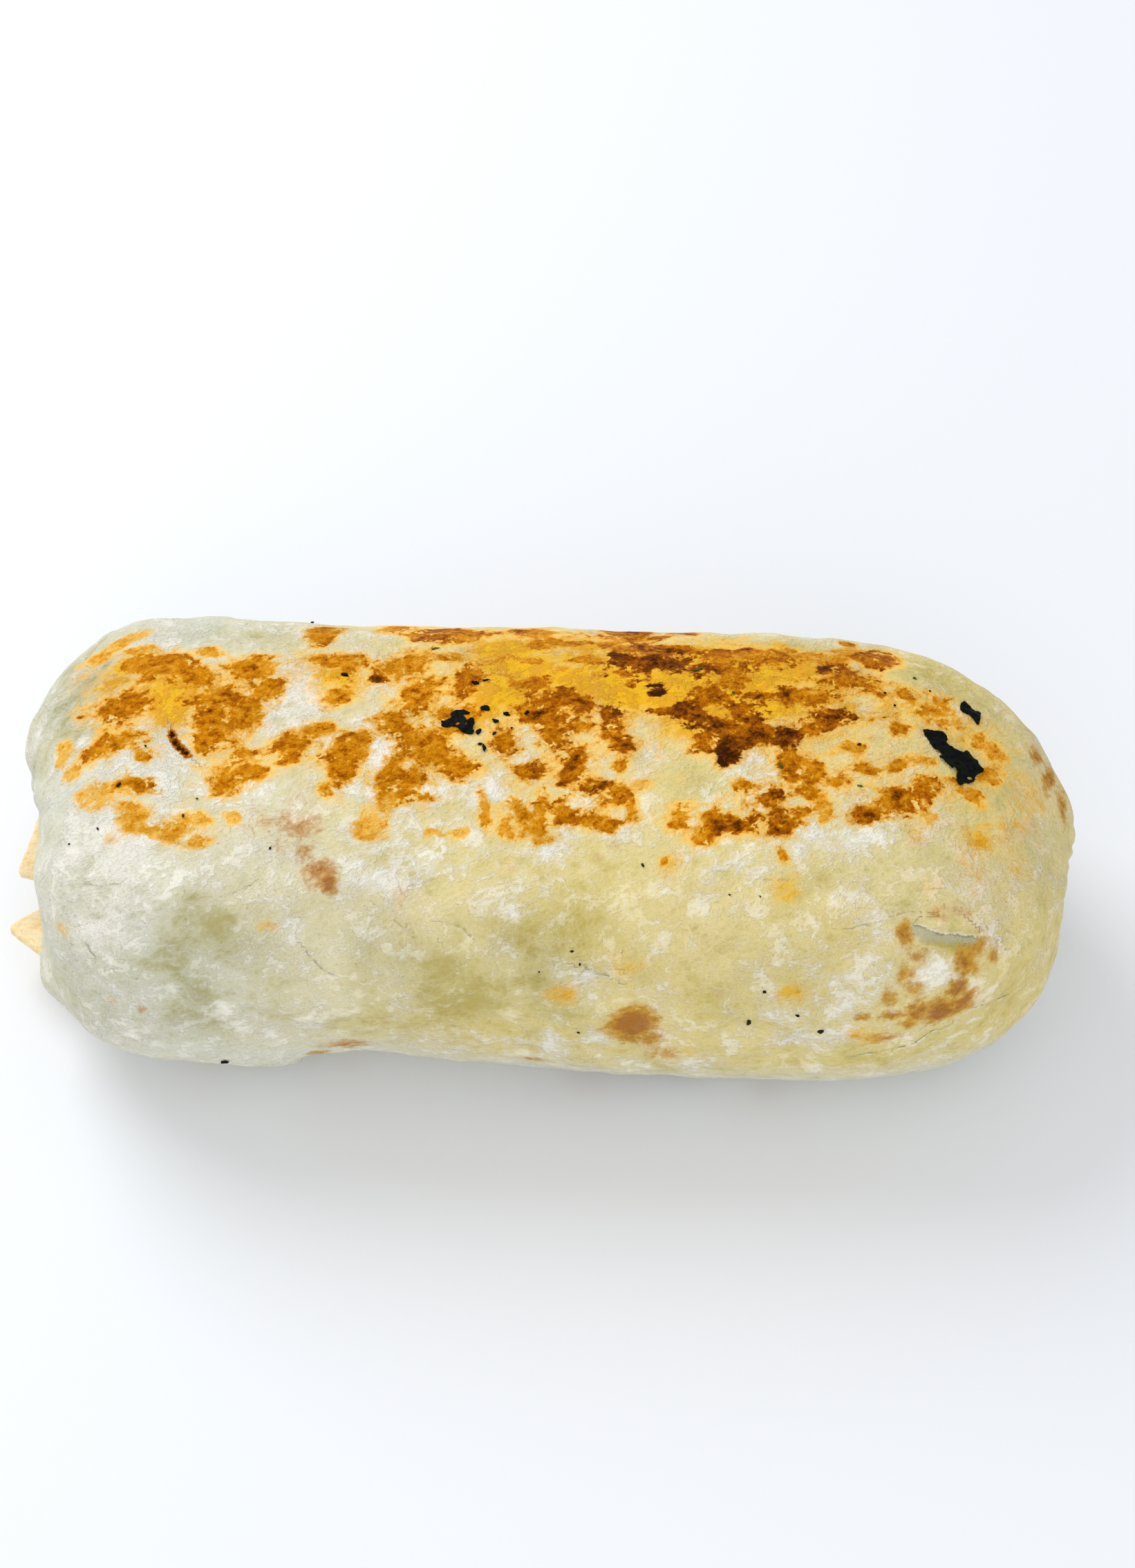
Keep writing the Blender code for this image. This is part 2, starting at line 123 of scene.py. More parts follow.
# Griddle marks: x, s, half length, half width, turn in degrees (left to right and up), darkness.
GRIDDLE_MARKS = (
    # the left third of the top
    (-78, -6.4, 6.2, 3.2, -5, 0.55), (-77, -17, 2.5, 2, 0, 0.35), (-72, -16.5, 4.2, 3.6, 20, 0.45),
    (-66, -14, 3.6, 2.2, -40, 0.45), (-61.4, -8.3, 4.6, 4.4, 0, 0.52), (-60.4, -2, 3.8, 4.2, 30, 0.54),
    (-61.5, 1.6, 2, 2.2, 0, 0.5), (-55, -17, 4.6, 2.2, 12, 0.42), (-51.6, -11.6, 3, 2.8, 50, 0.46),
    (-54.6, -5, 2.3, 3.6, -30, 0.44), (-79, 3.5, 5.4, 2.3, 35, 0.5), (-72.6, 5.2, 1.6, 1.5, 0, 0.4),
    (-74, 12, 2.9, 1.7, 5, 0.5), (-88, 4.4, 1.1, 2.2, 10, 0.08), (-86, 9.8, 1.4, 1.4, -30, 0.08),
    (-81, 14.6, 2.4, 2.2, -40, 0.06), (-73.6, 19.5, 1.6, 2, -40, 0.12), (-70, 22, 2.8, 1.1, -10, 0.14),
    (-66.6, 21, 1.1, 1.6, 0, 0.14), (-62.7, 19, 2.2, 1, -20, 0.12), (-62.5, 23.6, 1.3, 1, 0, 0.12),
    (-57, 10, 2.6, 2.8, 0, 0.5), (-52.4, 9, 2.4, 2.1, 0, 0.45), (-54.3, 4.4, 2.1, 1.2, 30, 0.42),
    (-46, 2.2, 2.9, 2.4, -10, 0.52), (-41.4, -1.3, 2.4, 1.6, 5, 0.42), (-46, 5.9, 1.8, 0.8, 0, 0.35),
    (-40, -19.6, 5.2, 2.1, -8, 0.42), (-39, -9.5, 3.3, 1.8, 30, 0.4), (-31.6, -15, 1.8, 0.8, 5, 0.85),
    (-36.3, 3, 2, 3, 0, 0.45), (-36.6, 8.2, 2, 2.6, 20, 0.45), (-39.4, 12, 1.3, 1.2, 0, 0.35),
    (-33.3, 0, 1.9, 1.5, 40, 0.4), (-56.3, 18.6, 1.6, 1.2, -30, 0.06), (-32.4, 19.5, 2.2, 1.6, 10, 0.16),
    # the middle of the top
    (-27, -19, 5, 2.6, 45, 0.42), (-24, -10.5, 3, 4.2, -25, 0.5), (-29, -4, 2.7, 2.4, 10, 0.45),
    (-33.6, 2.5, 1.2, 2, 0, 0.35), (-22, 0.6, 5.4, 3.2, -38, 0.5), (-16, 5.6, 3.4, 2.2, -38, 0.5),
    (-14.6, -15.5, 2.2, 4, -10, 0.55), (-18.7, -6.5, 2, 1.3, 0, 0.4), (-28, 7.8, 1.9, 4.1, -8, 0.48),
    (-23.5, 9.4, 1.9, 3, -12, 0.48), (-20.6, 12.7, 1.2, 0.9, 0, 0.5), (-27.8, 14.2, 1.5, 2, 0, 0.2),
    (-31.3, 18.8, 2.1, 2.5, 20, 0.15), (-16, 20.3, 1.2, 1, 0, 0.22), (-18.9, 20.9, 0.7, 0.5, 0, 0.2),
    (-21, 20.4, 1, 0.6, 20, 0.15), (-11.3, 15.7, 1, 3.3, 0, 0.35), (-3.4, 17.4, 1.2, 3.4, 35, 0.38),
    (-0.6, 14.4, 1, 2.6, 0, 0.4), (-7, 20, 1.6, 1.5, 0, 0.3), (-1.6, 20.8, 1.9, 0.8, 10, 0.32),
    (-5.2, 14, 1.3, 1.1, 0, 0.3), (-3.7, 6.6, 3.2, 1.6, -15, 0.62), (-7.4, -0.2, 3, 2.8, 20, 0.6),
    (-4, -14.6, 4, 1.8, -12, 0.46), (-2.6, -7.6, 3, 1.9, 12, 0.55), (0.8, -5, 1.6, 4.6, 0, 0.6),
    (3.9, -11.2, 2.3, 2.1, 20, 0.65), (6.6, -9.6, 2, 2.5, 20, 0.62), (6, -3.9, 2.1, 1.5, 0, 0.5),
    (2, -1, 2.1, 2.9, 0, 0.65), (5.2, 5, 2, 4, -20, 0.6), (11, -7.5, 1.8, 1.2, 0, 0.78),
    (12, -1.7, 2, 3.4, 20, 0.65), (14, 4.9, 1.1, 1.4, 0, 0.45), (8.5, 9.8, 2.3, 1.7, 15, 0.65),
    (13.2, 11.6, 2, 2.5, -20, 0.52), (17, 9.4, 1.6, 1, 15, 0.12), (3.6, 15.6, 2.5, 2.3, -30, 0.55),
    (8, 17.3, 2.2, 1.2, 0, 0.45), (11.4, 18.3, 1.5, 1.3, 0, 0.55), (15, 15.4, 1.2, 2.1, 0, 0.48),
    # the darkest part, right of the middle
    (19, -21.3, 8.4, 2, -4, 0.82), (20, -26, 9, 2, 0, 0.6), (31, -23, 4, 2.8, 0, 0.6), (39, -25, 6, 2.4, 0, 0.5),
    (19, -14, 2, 1.5, 0, 0.97), (14, -14.7, 1, 0.8, 0, 0.62), (30.4, -19.7, 1.2, 1, 0, 0.97),
    (20.5, -8.3, 2.9, 1.2, -8, 0.76), (26, -7.9, 3.8, 2.1, -5, 0.8), (29.5, -13, 4.2, 2.2, 10, 0.62),
    (32.3, -4.2, 4.2, 2.8, -20, 0.8), (27.7, -1.9, 2.1, 2.5, 0, 0.62), (32.6, 0.6, 2.2, 3.1, -12, 0.97),
    (34.3, 8, 1.3, 1.3, 0, 0.5), (23.4, 15.8, 2.1, 2.3, -30, 0.52), (27, 19.2, 2.3, 1.2, 0, 0.48),
    (29.2, 16.4, 1.1, 2.7, 0, 0.48), (33, 16.6, 3.3, 1.7, -12, 0.62), (19.7, 24.2, 0.8, 0.9, 0, 0.3),
    (33, -18, 3.2, 2.4, 0, 0.52), (38, -13.6, 2.2, 1.4, 0, 0.6), (46, -14, 5.2, 2.5, 5, 0.56),
    (43, -14.6, 1.5, 1.7, 0, 0.92), (51, -8.6, 4, 2.4, 15, 0.72), (47.5, -5.8, 2, 1.2, 20, 0.6),
    (55, -19.5, 5.6, 3.2, -10, 0.6), (50.5, -21.5, 1.8, 1.5, 0, 0.85), (49.5, -26.5, 5.2, 1.6, 0, 0.32),
    (35, -8, 2.4, 4.6, 10, 0.66), (37.8, -3.3, 3.2, 3, 0, 0.72), (42.6, -3.4, 3, 2.6, 10, 0.92),
    (43.5, 0.6, 1.7, 0.9, 0, 0.52), (43.4, 4.6, 1.4, 2.8, 12, 0.52), (47.2, 4.6, 1.5, 3.2, -10, 0.54),
    (46.4, 8.7, 2.4, 1.1, 0, 0.52), (45.2, 2.2, 2, 1.1, 0, 0.46), (51, 6.6, 2.4, 1.1, 20, 0.48),
    (35.2, 7.6, 1.6, 0.9, 0, 0.5), (39, 10.8, 2.6, 2.6, 0, 0.66), (45.5, 13.3, 1.4, 1.3, 0, 0.5),
    (42.2, 16, 3, 2, 12, 0.6), (40.8, 22, 0.9, 1.7, 25, 0.4), (49, 12, 1, 2.4, 0, 0.22),
    # the right third
    (56.7, 3.3, 2.3, 1.4, 0, 0.46), (62.4, 1.7, 2.9, 1.2, 15, 0.46), (56.5, 12.2, 3, 1.9, 15, 0.6),
    (61.6, 9.2, 2.9, 1.9, 20, 0.5), (67.3, 5.8, 3.4, 2.3, 20, 0.55), (64.4, -16.8, 1.8, 2.3, 20, 0.46),
    (71, -14.8, 3.9, 3.2, -20, 0.36), (62.6, -8, 2.3, 1.9, 0, 0.5), (53.9, -2, 2.1, 1.2, 0, 0.35),
    (78, -10.2, 1.4, 1.7, 0, 0.3), (80.1, -7.6, 1.8, 1.6, -40, 0.33), (79.4, -1, 2.6, 1.8, 25, 0.36),
    (75.2, 5.6, 2.6, 1.4, -30, 0.32), (67.3, -0.6, 2.7, 1, 5, 0.2), (67.5, 11.9, 1.3, 1, 0, 0.14),
    (-16.4, -2.4, 2.4, 1.5, 0, 0.4), (-13.4, -6, 1.5, 1.9, 0, 0.36),
    # the yellow part at the top of the middle
    (-12, -20.4, 2.6, 1.2, 12, 0.22), (-5, -21.4, 3, 1.1, -6, 0.3), (1.5, -18.6, 2.4, 1, 20, 0.26),
    (-9.6, -17.6, 1.6, 0.9, 0, 0.2), (6.4, -21.6, 2.6, 1.1, 8, 0.36), (7.6, -16.6, 1.3, 0.8, 0, 0.3),
    (12.6, -18, 1.2, 0.8, 0, 0.4), (-18.6, -21.2, 2.2, 1.1, 0, 0.28),
    # the far left corner
    (-83, -24, 5, 1.6, 30, 0.12), (-77, -21.5, 2.6, 1.2, 0, 0.18), (-64, -21, 2.4, 1.2, -20, 0.3),
)
MARK_FUSING = 7.0  # higher keeps neighbouring marks apart
SPOT_DEPTH, FAR_AWAY = 10 * MM, 99.0  # a spot reaches this far in and out of the surface, and no further
# Thin lacy browning between the marks: x, s, reach along, reach round, level, darkness.
GRIDDLE_LACE = (
    (-73, -11, 11, 8, 0.34, 0.24), (-62, -10, 8, 8, 0.26, 0.3), (-54, -15, 8, 5, 0.24, 0.3),
    (-77, 2, 9, 5, 0.38, 0.3), (-75, 14, 8, 7, 0.34, 0.15), (-68, 21, 9, 4, 0.28, 0.06), (-56, 8, 8, 6, 0.36, 0.4),
    (-44, 2, 8, 5, 0.35, 0.38), (-38, -16, 7, 6, 0.38, 0.35), (-36, 6, 6, 8, 0.35, 0.4),
    (-24, -14, 8, 8, 0.42, 0.4), (-22, 4, 9, 8, 0.4, 0.42), (-26, 12, 6, 6, 0.36, 0.35),
    (-14, -12, 5, 8, 0.4, 0.45), (-3, -9, 9, 7, 0.42, 0.5), (-4, 17, 8, 5, 0.34, 0.3), (-4, 6, 7, 4, 0.4, 0.5),
    (4, -6, 7, 9, 0.43, 0.55), (6, 6, 6, 9, 0.37, 0.5), (10, 14, 7, 6, 0.34, 0.45), (14, -20, 10, 6, 0.42, 0.55),
    (13, -4, 6, 8, 0.4, 0.5), (28, -20, 16, 7, 0.39, 0.58), (28, -10, 10, 7, 0.4, 0.6), (33, -3, 8, 6, 0.42, 0.62),
    (44, -18, 12, 7, 0.36, 0.48), (48, -9, 8, 5, 0.38, 0.5), (27, 17, 7, 5, 0.4, 0.42), (37, 14, 8, 6, 0.38, 0.5),
    (46, 7, 7, 7, 0.4, 0.45), (44, -2, 6, 5, 0.46, 0.6), (60, -14, 8, 7, 0.36, 0.4), (62, 10, 9, 5, 0.42, 0.45),
    (58, 2, 9, 4, 0.34, 0.35), (72, -14, 8, 6, 0.34, 0.3), (79, -6, 4, 6, 0.32, 0.3), (0, -32, 40, 5, 0.42, 0.4),
    (0, 118, 60, 18, 0.42, 0.5),
)
MARK_SHIFT, MARK_SPREAD = 0.5, 0.02  # mm, and its share more to the right of the middle
MARK_LEAN, LEAN_END = 3.0, 80.0  # mm more low on the near side, fading out this far to the right
SEEDED_GRIDDLE = (  # marks nobody placed: how many, x from and to, s from and to, darkness from and to
    (26, -66, 62, -37, -27, 0.25, 0.70),
    (95, -74, 66, 96, 138, 0.30, 0.85),
)

# Yellow oil soaked in: x, s, reach along, reach round, strength.
OIL_STAINS = (
    (-77, -17.5, 4, 3, 1), (-70.5, -10, 6, 5, 1), (-69, -4, 3, 4, 0.7), (-81, -14, 4, 4, 0.5),
    (-40, -16, 4, 5, 0.7), (-47, -16, 5, 6, 0.22), (-38, -11, 2.5, 3, 0.6), (-56, -2, 8, 10, 0.15),
    (-5, -17, 8, 8, 1), (-10, -22, 7, 5, 0.8), (12, -18, 9, 7, 1), (14, -13, 6, 4, 0.9), (25, -10, 9, 8, 0.75),
    (33, -17, 14, 8, 0.75), (-12, 5, 3, 3, 0.4), (20, 8, 5, 3, 0.2), (37, -10, 6, 6, 0.6), (43, -9, 5, 4, 0.45),
    (42, -25, 14, 5, 0.9), (48, -16, 8, 6, 0.45), (52, 0, 7, 8, 0.3), (60, -12, 12, 8, 0.4), (78, 0, 8, 12, 0.25),
    (30, -22, 8, 5, 0.8), (0, -28, 20, 5, 0.7), (15, -6, 40, 16, 0.22), (72, -6, 16, 16, 0.22),
    (-66, -12, 16, 10, 0.28), (76, 24, 14, 12, 0.1), (60, 34, 30, 14, 0.1), (-84, -14, 6, 6, 0.4),
    (88, -8, 8, 16, 0.22), (-8, -10.4, 5, 2.6, 0.65), (-10.4, -6, 3.4, 3, 0.6), (1.8, -15, 5, 3, 0.5),
    (-14, -2.4, 3, 2, 0.3), (80, 18, 9, 9, 0.17), (-50, 20, 7, 4, 0.15), (-30, -18, 12, 6, 0.25),
    (-14, -14, 12, 6, 0.25),
)

# Where the dough has gone sheer over the filling: x, s, reach along, reach round, strength.
SHEER_AREAS = (
    (-63, 36, 8, 4, 0.5), (-58, 41, 7, 5, 0.6), (-66, 44, 5, 4, 0.45), (-64, 52, 5, 5, 0.75),
    (-73, 47, 6, 4, 0.45), (-64, 61, 6, 4, 0.5), (-32, 39, 4, 4, 0.45), (-33, 46, 4, 6, 0.4), (-20, 45, 7, 5, 0.5),
    (-20, 54, 8, 5, 0.5), (-7, 38, 4, 6, 0.55), (-2, 46, 4, 6, 0.55), (4, 36, 6, 6, 0.6), (2, 54, 6, 7, 0.55),
    (15, 44, 5, 5, 0.4), (29, 52, 6, 7, 0.45), (46, 26, 8, 4, 0.4), (43, 49, 8, 9, 0.4), (87, 14, 4, 9, 0.18),
    (-79, -1.2, 4, 1.6, 0.8), (-61, 4, 6, 2.2, 0.8), (78, -4, 14, 18, 0.34), (67.4, 37.2, 2.2, 1.3, 0.9),
    (70.4, 38.2, 2.4, 1.4, 1.1), (73.8, 39, 2.2, 1.3, 1), (89, 24, 5, 14, 0.12), (-14, 50, 9, 7, 0.4),
    (-2, 38, 8, 5, 0.3), (-84, 34, 5, 8, 0.35), (-42, 33, 12, 8, 0.15), (70, 30, 14, 8, 0.08), (16, 0, 3, 3, 0.45),
    (-42, -12, 4, 6, 0.25), (70, 22, 12, 5, 0.25), (50, 38, 16, 8, 0.2), (-50, 48, 6, 8, 0.35),
    (48, -4.4, 4.5, 2.8, 0.7), (28, 9, 5, 3, 0.45), (25.5, 5, 3, 3, 0.35), (-26, 41, 3, 6, 0.3),
    (-88, -12, 8, 14, 0.8), (-86, 60, 10, 10, 0.35), (-66, 62, 14, 8, 0.4), (-20, 60, 16, 8, 0.3),
    # The first three entries on the next line are painted shade: bands along the far shoulder where the top turns
    # away.
    (52, -29, 20, 4, 0.7), (72, -24, 10, 5, 0.5), (-60, -27, 24, 4, 0.5), (82, 58, 10, 12, 0.34),
    (-38, 62, 12, 6, 0.3), (60, 66, 16, 7, 0.35), (20, 70, 20, 6, 0.25),
)

# Dusty white dough: x, s, reach along, reach round, strength.
FLOURY_AREAS = (
    (-82, 40, 9, 12, 0.8), (-78, 24, 9, 5, 0.7), (-70, 34, 8, 5, 0.35), (-60, 52, 10, 8, 0.25),
    (-25, 25, 14, 5, 0.62), (3, 25, 9, 5, 0.45), (6, 45, 3, 2, 0.7), (-12, 66, 30, 5, 0.45), (-52, 14, 6, 4, 0.35),
    (-84, 66, 10, 7, 0.35), (14, 10, 5, 5, 0.3), (20, 72, 9, 3, 0.6), (-18, 12, 10, 4, 0.35), (26, 23, 8, 3, 0.38),
    (70, 62, 10, 8, 0.3), (68.2, 43.8, 3.5, 3, 0.9), (79, 37, 5, 4, 0.5), (60, 44, 4, 8, 0.4),
    (-46, -8, 5, 5, 0.25), (62, 16, 8, 3, 0.35), (34, 12, 5, 4, 0.3), (-50, 60, 10, 6, 0.25), (46, 60, 12, 6, 0.3),
    (19.8, -0.3, 4, 4, 0.5), (36.8, 4, 4, 4, 0.55), (7.3, 13.7, 4, 3, 0.55), (61.7, -10, 3, 2, 0.7),
    (39.5, -21.2, 2, 1.6, 0.5), (-50, -4, 10, 9, 0.45), (-44, -14, 6, 5, 0.45), (-64, 13, 8, 5, 0.5),
    (-30, 4, 8, 8, 0.45), (-30, -12, 5, 5, 0.4), (-12, 12, 8, 4, 0.45), (-46, 13, 7, 5, 0.4),
    (-70, 27, 16, 4, 0.35), (52, 17, 9, 3, 0.4),
)

# Soft toasted blisters: x, s, reach along, reach round, strength, redness.
TOASTED_SPOTS = (
    (-41.2, 28.8, 2.9, 3.2, 1.05, 0.6), (-40.2, 30.4, 1.7, 2, 1.6, 0.3), (14.4, 58.4, 4.4, 4.6, 1.75, 0),
    (17.5, 61.5, 3.2, 3.8, 0.85, 0), (20, 67, 3.6, 3.4, 0.55, 0.2), (-74, 58.5, 1.1, 1.1, 0.6, 0.6),
    (-45, 20, 5.5, 6.5, 0.56, 0.7), (-51, 19, 6, 4, 0.34, 0.8), (-44.5, 24.4, 2.2, 3.4, 0.6, 0.6),
    (-38.5, 73, 5.5, 2.6, 0.85, 0.5), (-44, 77, 2.2, 1.4, 0.9, 0.2), (-3, 74, 4, 1.4, 0.6, 0.5),
    (7.3, 24.6, 2, 1.6, 0.42, 0.9), (11, 22, 1.8, 1.4, 0.4, 0.9), (30, 49, 1.6, 2.2, 0.3, 0.6),
    # the right end's shoulder
    (89.5, -20, 2, 4, 0.8, 0.1), (91.6, -14, 1.8, 5, 1, 0.1), (93.4, -6, 1.6, 5, 1, 0.1),
    # round the torn patch low on the near side
    (71, 31.6, 5.5, 2.4, 0.46, 1), (68.2, 32, 1.5, 1.4, 0.85, 0.4), (62.3, 35.8, 1.5, 2.6, 1.05, 0),
    (64.8, 40, 2.4, 2.4, 0.75, 0.4), (63.2, 43.4, 1.7, 2.4, 0.95, 0), (64.8, 46.6, 2.2, 1.6, 0.75, 0.2),
    (76, 39.6, 2.8, 2.6, 0.85, 0.1), (73.8, 43, 2.2, 3.6, 1.05, 0), (72.4, 48, 2.2, 3.2, 1.2, 0),
    (73.6, 52.6, 3.2, 3, 1.3, 0), (69.8, 53.2, 3.8, 3.4, 1.4, 0), (66, 52, 3.4, 2.8, 1.2, 0),
    (64.2, 55.4, 2.2, 1.8, 1.1, 0), (60.6, 52.6, 2.8, 1.6, 0.85, 0), (60.4, 48, 1.6, 2, 0.8, 0),
    (55.6, 52.5, 2.4, 1.6, 0.95, 0), (59.6, 59, 4.6, 2, 0.6, 0.2), (79.2, 42.6, 1.5, 1.8, 0.8, 0.1),
)
SEEDED_TOAST = (  # how many, x from and to, s from and to
    (9, -80, 80, -84, -44), (4, -70, 70, 78, 92),
)

# Small yellow spots of oil on the side: x, s, radius, strength.
YELLOW_SPOTS = (
    (1.4, 50.4, 2.6, 0.75), (43, 48, 2.4, 0.85), (41.2, 27.9, 2.4, 0.7), (20.8, 24.8, 2.8, 0.6),
    (-51.2, 37.3, 1.7, 0.6), (-78.5, 24.6, 1.9, 0.5), (-87.5, 42.9, 2.2, 0.4), (-79, 57.3, 1.4, 0.5),
    (64.4, 15.6, 1.9, 0.75), (76.9, 17, 2.6, 0.55), (57, 59, 3.4, 0.6), (-26, 34, 3.5, 0.3), (13, 44, 4, 0.35),
    (33, 70, 2.6, 0.4), (25, 66, 2, 0.4), (-8, 26, 3, 0.25),
)

# Cracks and creases: depth, half width, darkness of the painted shade line along it, then the points (x, s) that
# they pass.
CREASES = (
    (0.35, 0.6, 0.5, (-43.4, 43.2), (-41.4, 46), (-39.2, 47.8), (-37, 48.4)),
    (0.3, 0.6, 0.36, (-18.3, 37), (-16, 37.4), (-14.3, 39.5)),
    (0.3, 1, 0.25, (-27.5, 31), (-26, 35), (-24, 41), (-23.5, 45)),
    (0.25, 0.5, 0.55, (4.8, 45.8), (6.2, 44.8), (8.2, 44.6), (9.8, 45.6)),
    (0.25, 0.5, 0.45, (5.6, 43.8), (6.8, 45.2), (8.6, 45.4)), (0.2, 0.5, 0.4, (12, 41), (13.4, 39.6), (14.4, 38)),
    (0.25, 0.7, 0.4, (-81, 32.5), (-78.8, 32)), (0.3, 0.6, 0.55, (-84.5, 44.5), (-82.8, 44), (-80.6, 47)),
    (0.25, 0.5, 0.5, (-75.8, 49.5), (-73.6, 50.5)), (0.4, 0.8, 0.35, (-61.8, 33.2), (-58, 33.6), (-54, 31.2)),
    (0.3, 0.8, 0.28, (-32.4, 33.6), (-28.6, 36.4), (-25.2, 38.8), (-24, 42.6)),
    (0.5, 0.9, 0.35, (-66.8, 24.2), (-63.4, 25.2), (-59, 23.6)),
    (0.35, 1.2, 0.2, (-53, 21), (-51.8, 24.6), (-50.6, 28.8)),
    (0.5, 0.8, 0.8, (57.8, 65), (62, 64.4), (65, 63.6), (69.6, 60.8)),
    (0.4, 0.8, 0.55, (76.4, 56.4), (79, 57.4), (82.6, 59.6)), (0.25, 0.5, 0.4, (53.2, 34.6), (56, 34)),
    (0.4, 0.8, 0.38, (60.8, 32.2), (62.6, 31.6), (65.4, 31.8)),
    (0.4, 0.8, 0.4, (77.4, 35.2), (78.4, 38), (80, 41), (82.6, 43.8)),
    (0.3, 0.7, 0.32, (80, 36), (82, 38.4), (84, 41)), (0.3, 0.8, 0.35, (-77, 62), (-73, 62.5)),
    (0.45, 1.2, 0.2, (-25, 30), (-20, 28.6), (-15, 28)),
    (0.35, 0.9, 0.25, (30, 26), (36, 27.2), (42, 26.6), (48, 27.6)),
    (0.3, 0.9, 0.22, (-12, 24), (-9, 26), (-4, 25.4)), (0.4, 1.1, 0.2, (55, 26.8), (61, 28), (67, 27.4)),
    (0.35, 1, 0.25, (80, 38), (83, 41), (86, 42)),
    # folds of the hidden sides
    (0.5, 1.3, 0.2, (-70, -52), (-40, -56), (-5, -54), (30, -58), (62, -55)),
    (0.35, 0.8, 0.35, (-20, -70), (-12, -72), (-5, -71)), (0.35, 0.8, 0.35, (36, -44), (41, -47), (44, -46)),
)
# Two more creases in the same form: the edge of the torn flap and the burnt slit on the left.
TEAR = (0.90, 1.0, 1.00, (65.4, 34.6), (68, 36.0), (71, 36.4), (75.2, 37.6))
BURNT_SLIT = (1.10, 0.9, 0.80, (-68.3, -0.6), (-67.3, 1.6), (-65.8, 3.2), (-64.6, 4.4))


MARK_BEND, TOAST_BEND, BURNT_REACH = 1.0 * MM, 0.4 * MM, 1.5
# The dough turns from cool to warm along the roll and up it, and cools again towards its base, in mm; the cooling
# low down and at the base is painted shade and cool light from the floor.
WARM_ALONG, WARM_UP, COOL_DOWN, LOW_WARMTH, BASE_PAINTED_FLOOR_LIGHT = (-92, 5), (4, 26), (-26, -6), 0.36, 0.55

# Noises of the tortilla's look: which way they lie, size in mm, detail, roughness, distortion.
NOISES = {
    "broad": ("straight", 16, 3.0, 0.55, 0.3),
    "patchy": ("swirled", 5.5, 4.0, 0.62, 0.0),
    "wisps": ("slanted", 2.2, 5.0, 0.68, 0.0),
    "threads": ("slanted", 0.7, 3.0, 0.65, 0.0),
    "flecks": ("slanted", 3.0, 3.0, 0.6, 0.4),
    "chips": ("straight", 1.3, 3.0, 0.62, 0.3),
    "crumbs": ("straight", 0.45, 2.0, 0.6, 0.0),
}
SLANT_TURN, SLANT_STRETCH = (0.0, math.radians(-14), math.radians(24)), (1.6, 1.0, 1.0)
# A griddle mark's colours from the least heat to the most, and the heat that the first stands for.
HEAT_SHADES = ((0.0, "halo"), (0.14, "pale"), (0.38, "golden"), (0.58, "brown"), (0.82, "dark"), (1.0, "burnt"))
COOLEST = 0.37
DOUGH_ROUGHNESS, RELIEF = 0.62, 0.9 * MM


def clear_selection():
    bpy.ops.object.select_all(action="DESELECT")


def settings(name):
    return getattr(bpy.context.scene, name)


def from_screen(red, green, blue):
    """A linear colour from one as a screen shows it, 0 to 255."""
    shares = np.array((red, green, blue)) / 255.0
    return tuple(float(v) for v in np.where(shares <= 0.04045, shares / 12.92,
                                            ((shares + 0.055) / 1.055) ** 2.4))


# ---------------------------------------------------------------- numbers over a surface


def smooth_step(value, low, high):
    share = np.clip((value - low) / (high - low), 0.0, 1.0)
    return share * share * (3.0 - 2.0 * share)


def lattice_noise(points, size, seed):
    """Smooth noise from -1 to 1, with bumps about as wide as size."""
    cells = points / size
    base = np.floor(cells).astype(np.int64)
    ease = cells - base
    ease = ease * ease * (3.0 - 2.0 * ease)
    total = np.zeros(len(points))
    mask = np.int64(0xFFFFFFFF)
    for corner in np.ndindex(2, 2, 2):
        at = base + corner
        mixed = (at[:, 0] * 73856093 ^ at[:, 1] * 19349663 ^ at[:, 2] * 83492791 ^ seed * 2654435) & mask
        mixed = ((mixed ^ (mixed >> 13)) * 1274126177) & mask
        mixed = ((mixed ^ (mixed >> 15)) * 2246822519) & mask
        value = (mixed ^ (mixed >> 16)) / 2147483648.0 - 1.0
        total += value * np.prod(np.where(np.array(corner) == 1, ease, 1.0 - ease), axis=1)
    return total


def layered_noise(points, size, layers, seed):
    total, weight = np.zeros(len(points)), 1.0
    for layer in range(layers):
        total += weight * lattice_noise(points, size / 2**layer, seed + layer)
        weight *= 0.5
    return total


def even_samples(curve, shares):
    steps = np.linalg.norm(np.diff(curve, axis=0), axis=1)
    run = np.concatenate(([0.0], np.cumsum(steps)))
    return [np.interp(np.asarray(shares) * run[-1], run, column) for column in curve.T]


# ---------------------------------------------------------------- the roll's form


def girth_curve():
    """(y, z) all the way round the roll at its fullest, from the middle of its top."""
    angle = np.linspace(0.0, 2.0 * math.pi, GIRTH_STEPS)
    across, up = np.sin(angle), np.cos(angle)
    top = np.where(across >= 0, SQUARE_TOP_NEAR, SQUARE_TOP_FAR)
    power = 2.0 / np.where(up >= 0, top, SQUARE_BASE)
    rise = np.where(up >= 0, ROLL_HEIGHT - WAIST_HEIGHT, WAIST_HEIGHT + BASE_SQUASH)
    y = -ROLL_WIDTH / 2 * np.sign(across) * np.abs(across) ** power
    z = rise * np.sign(up) * np.abs(up) ** power
    return np.stack((y, z), axis=1)


GIRTH = girth_curve()
FULL_GIRTH = float(np.linalg.norm(np.diff(GIRTH, axis=0), axis=1).sum())


def end_curve(reach, blunt):
    angle = np.linspace(0.0, math.pi / 2, GIRTH_STEPS)
    power = 2.0 / blunt
    return reach * (1.0 - np.cos(angle) ** power), np.sin(angle) ** power


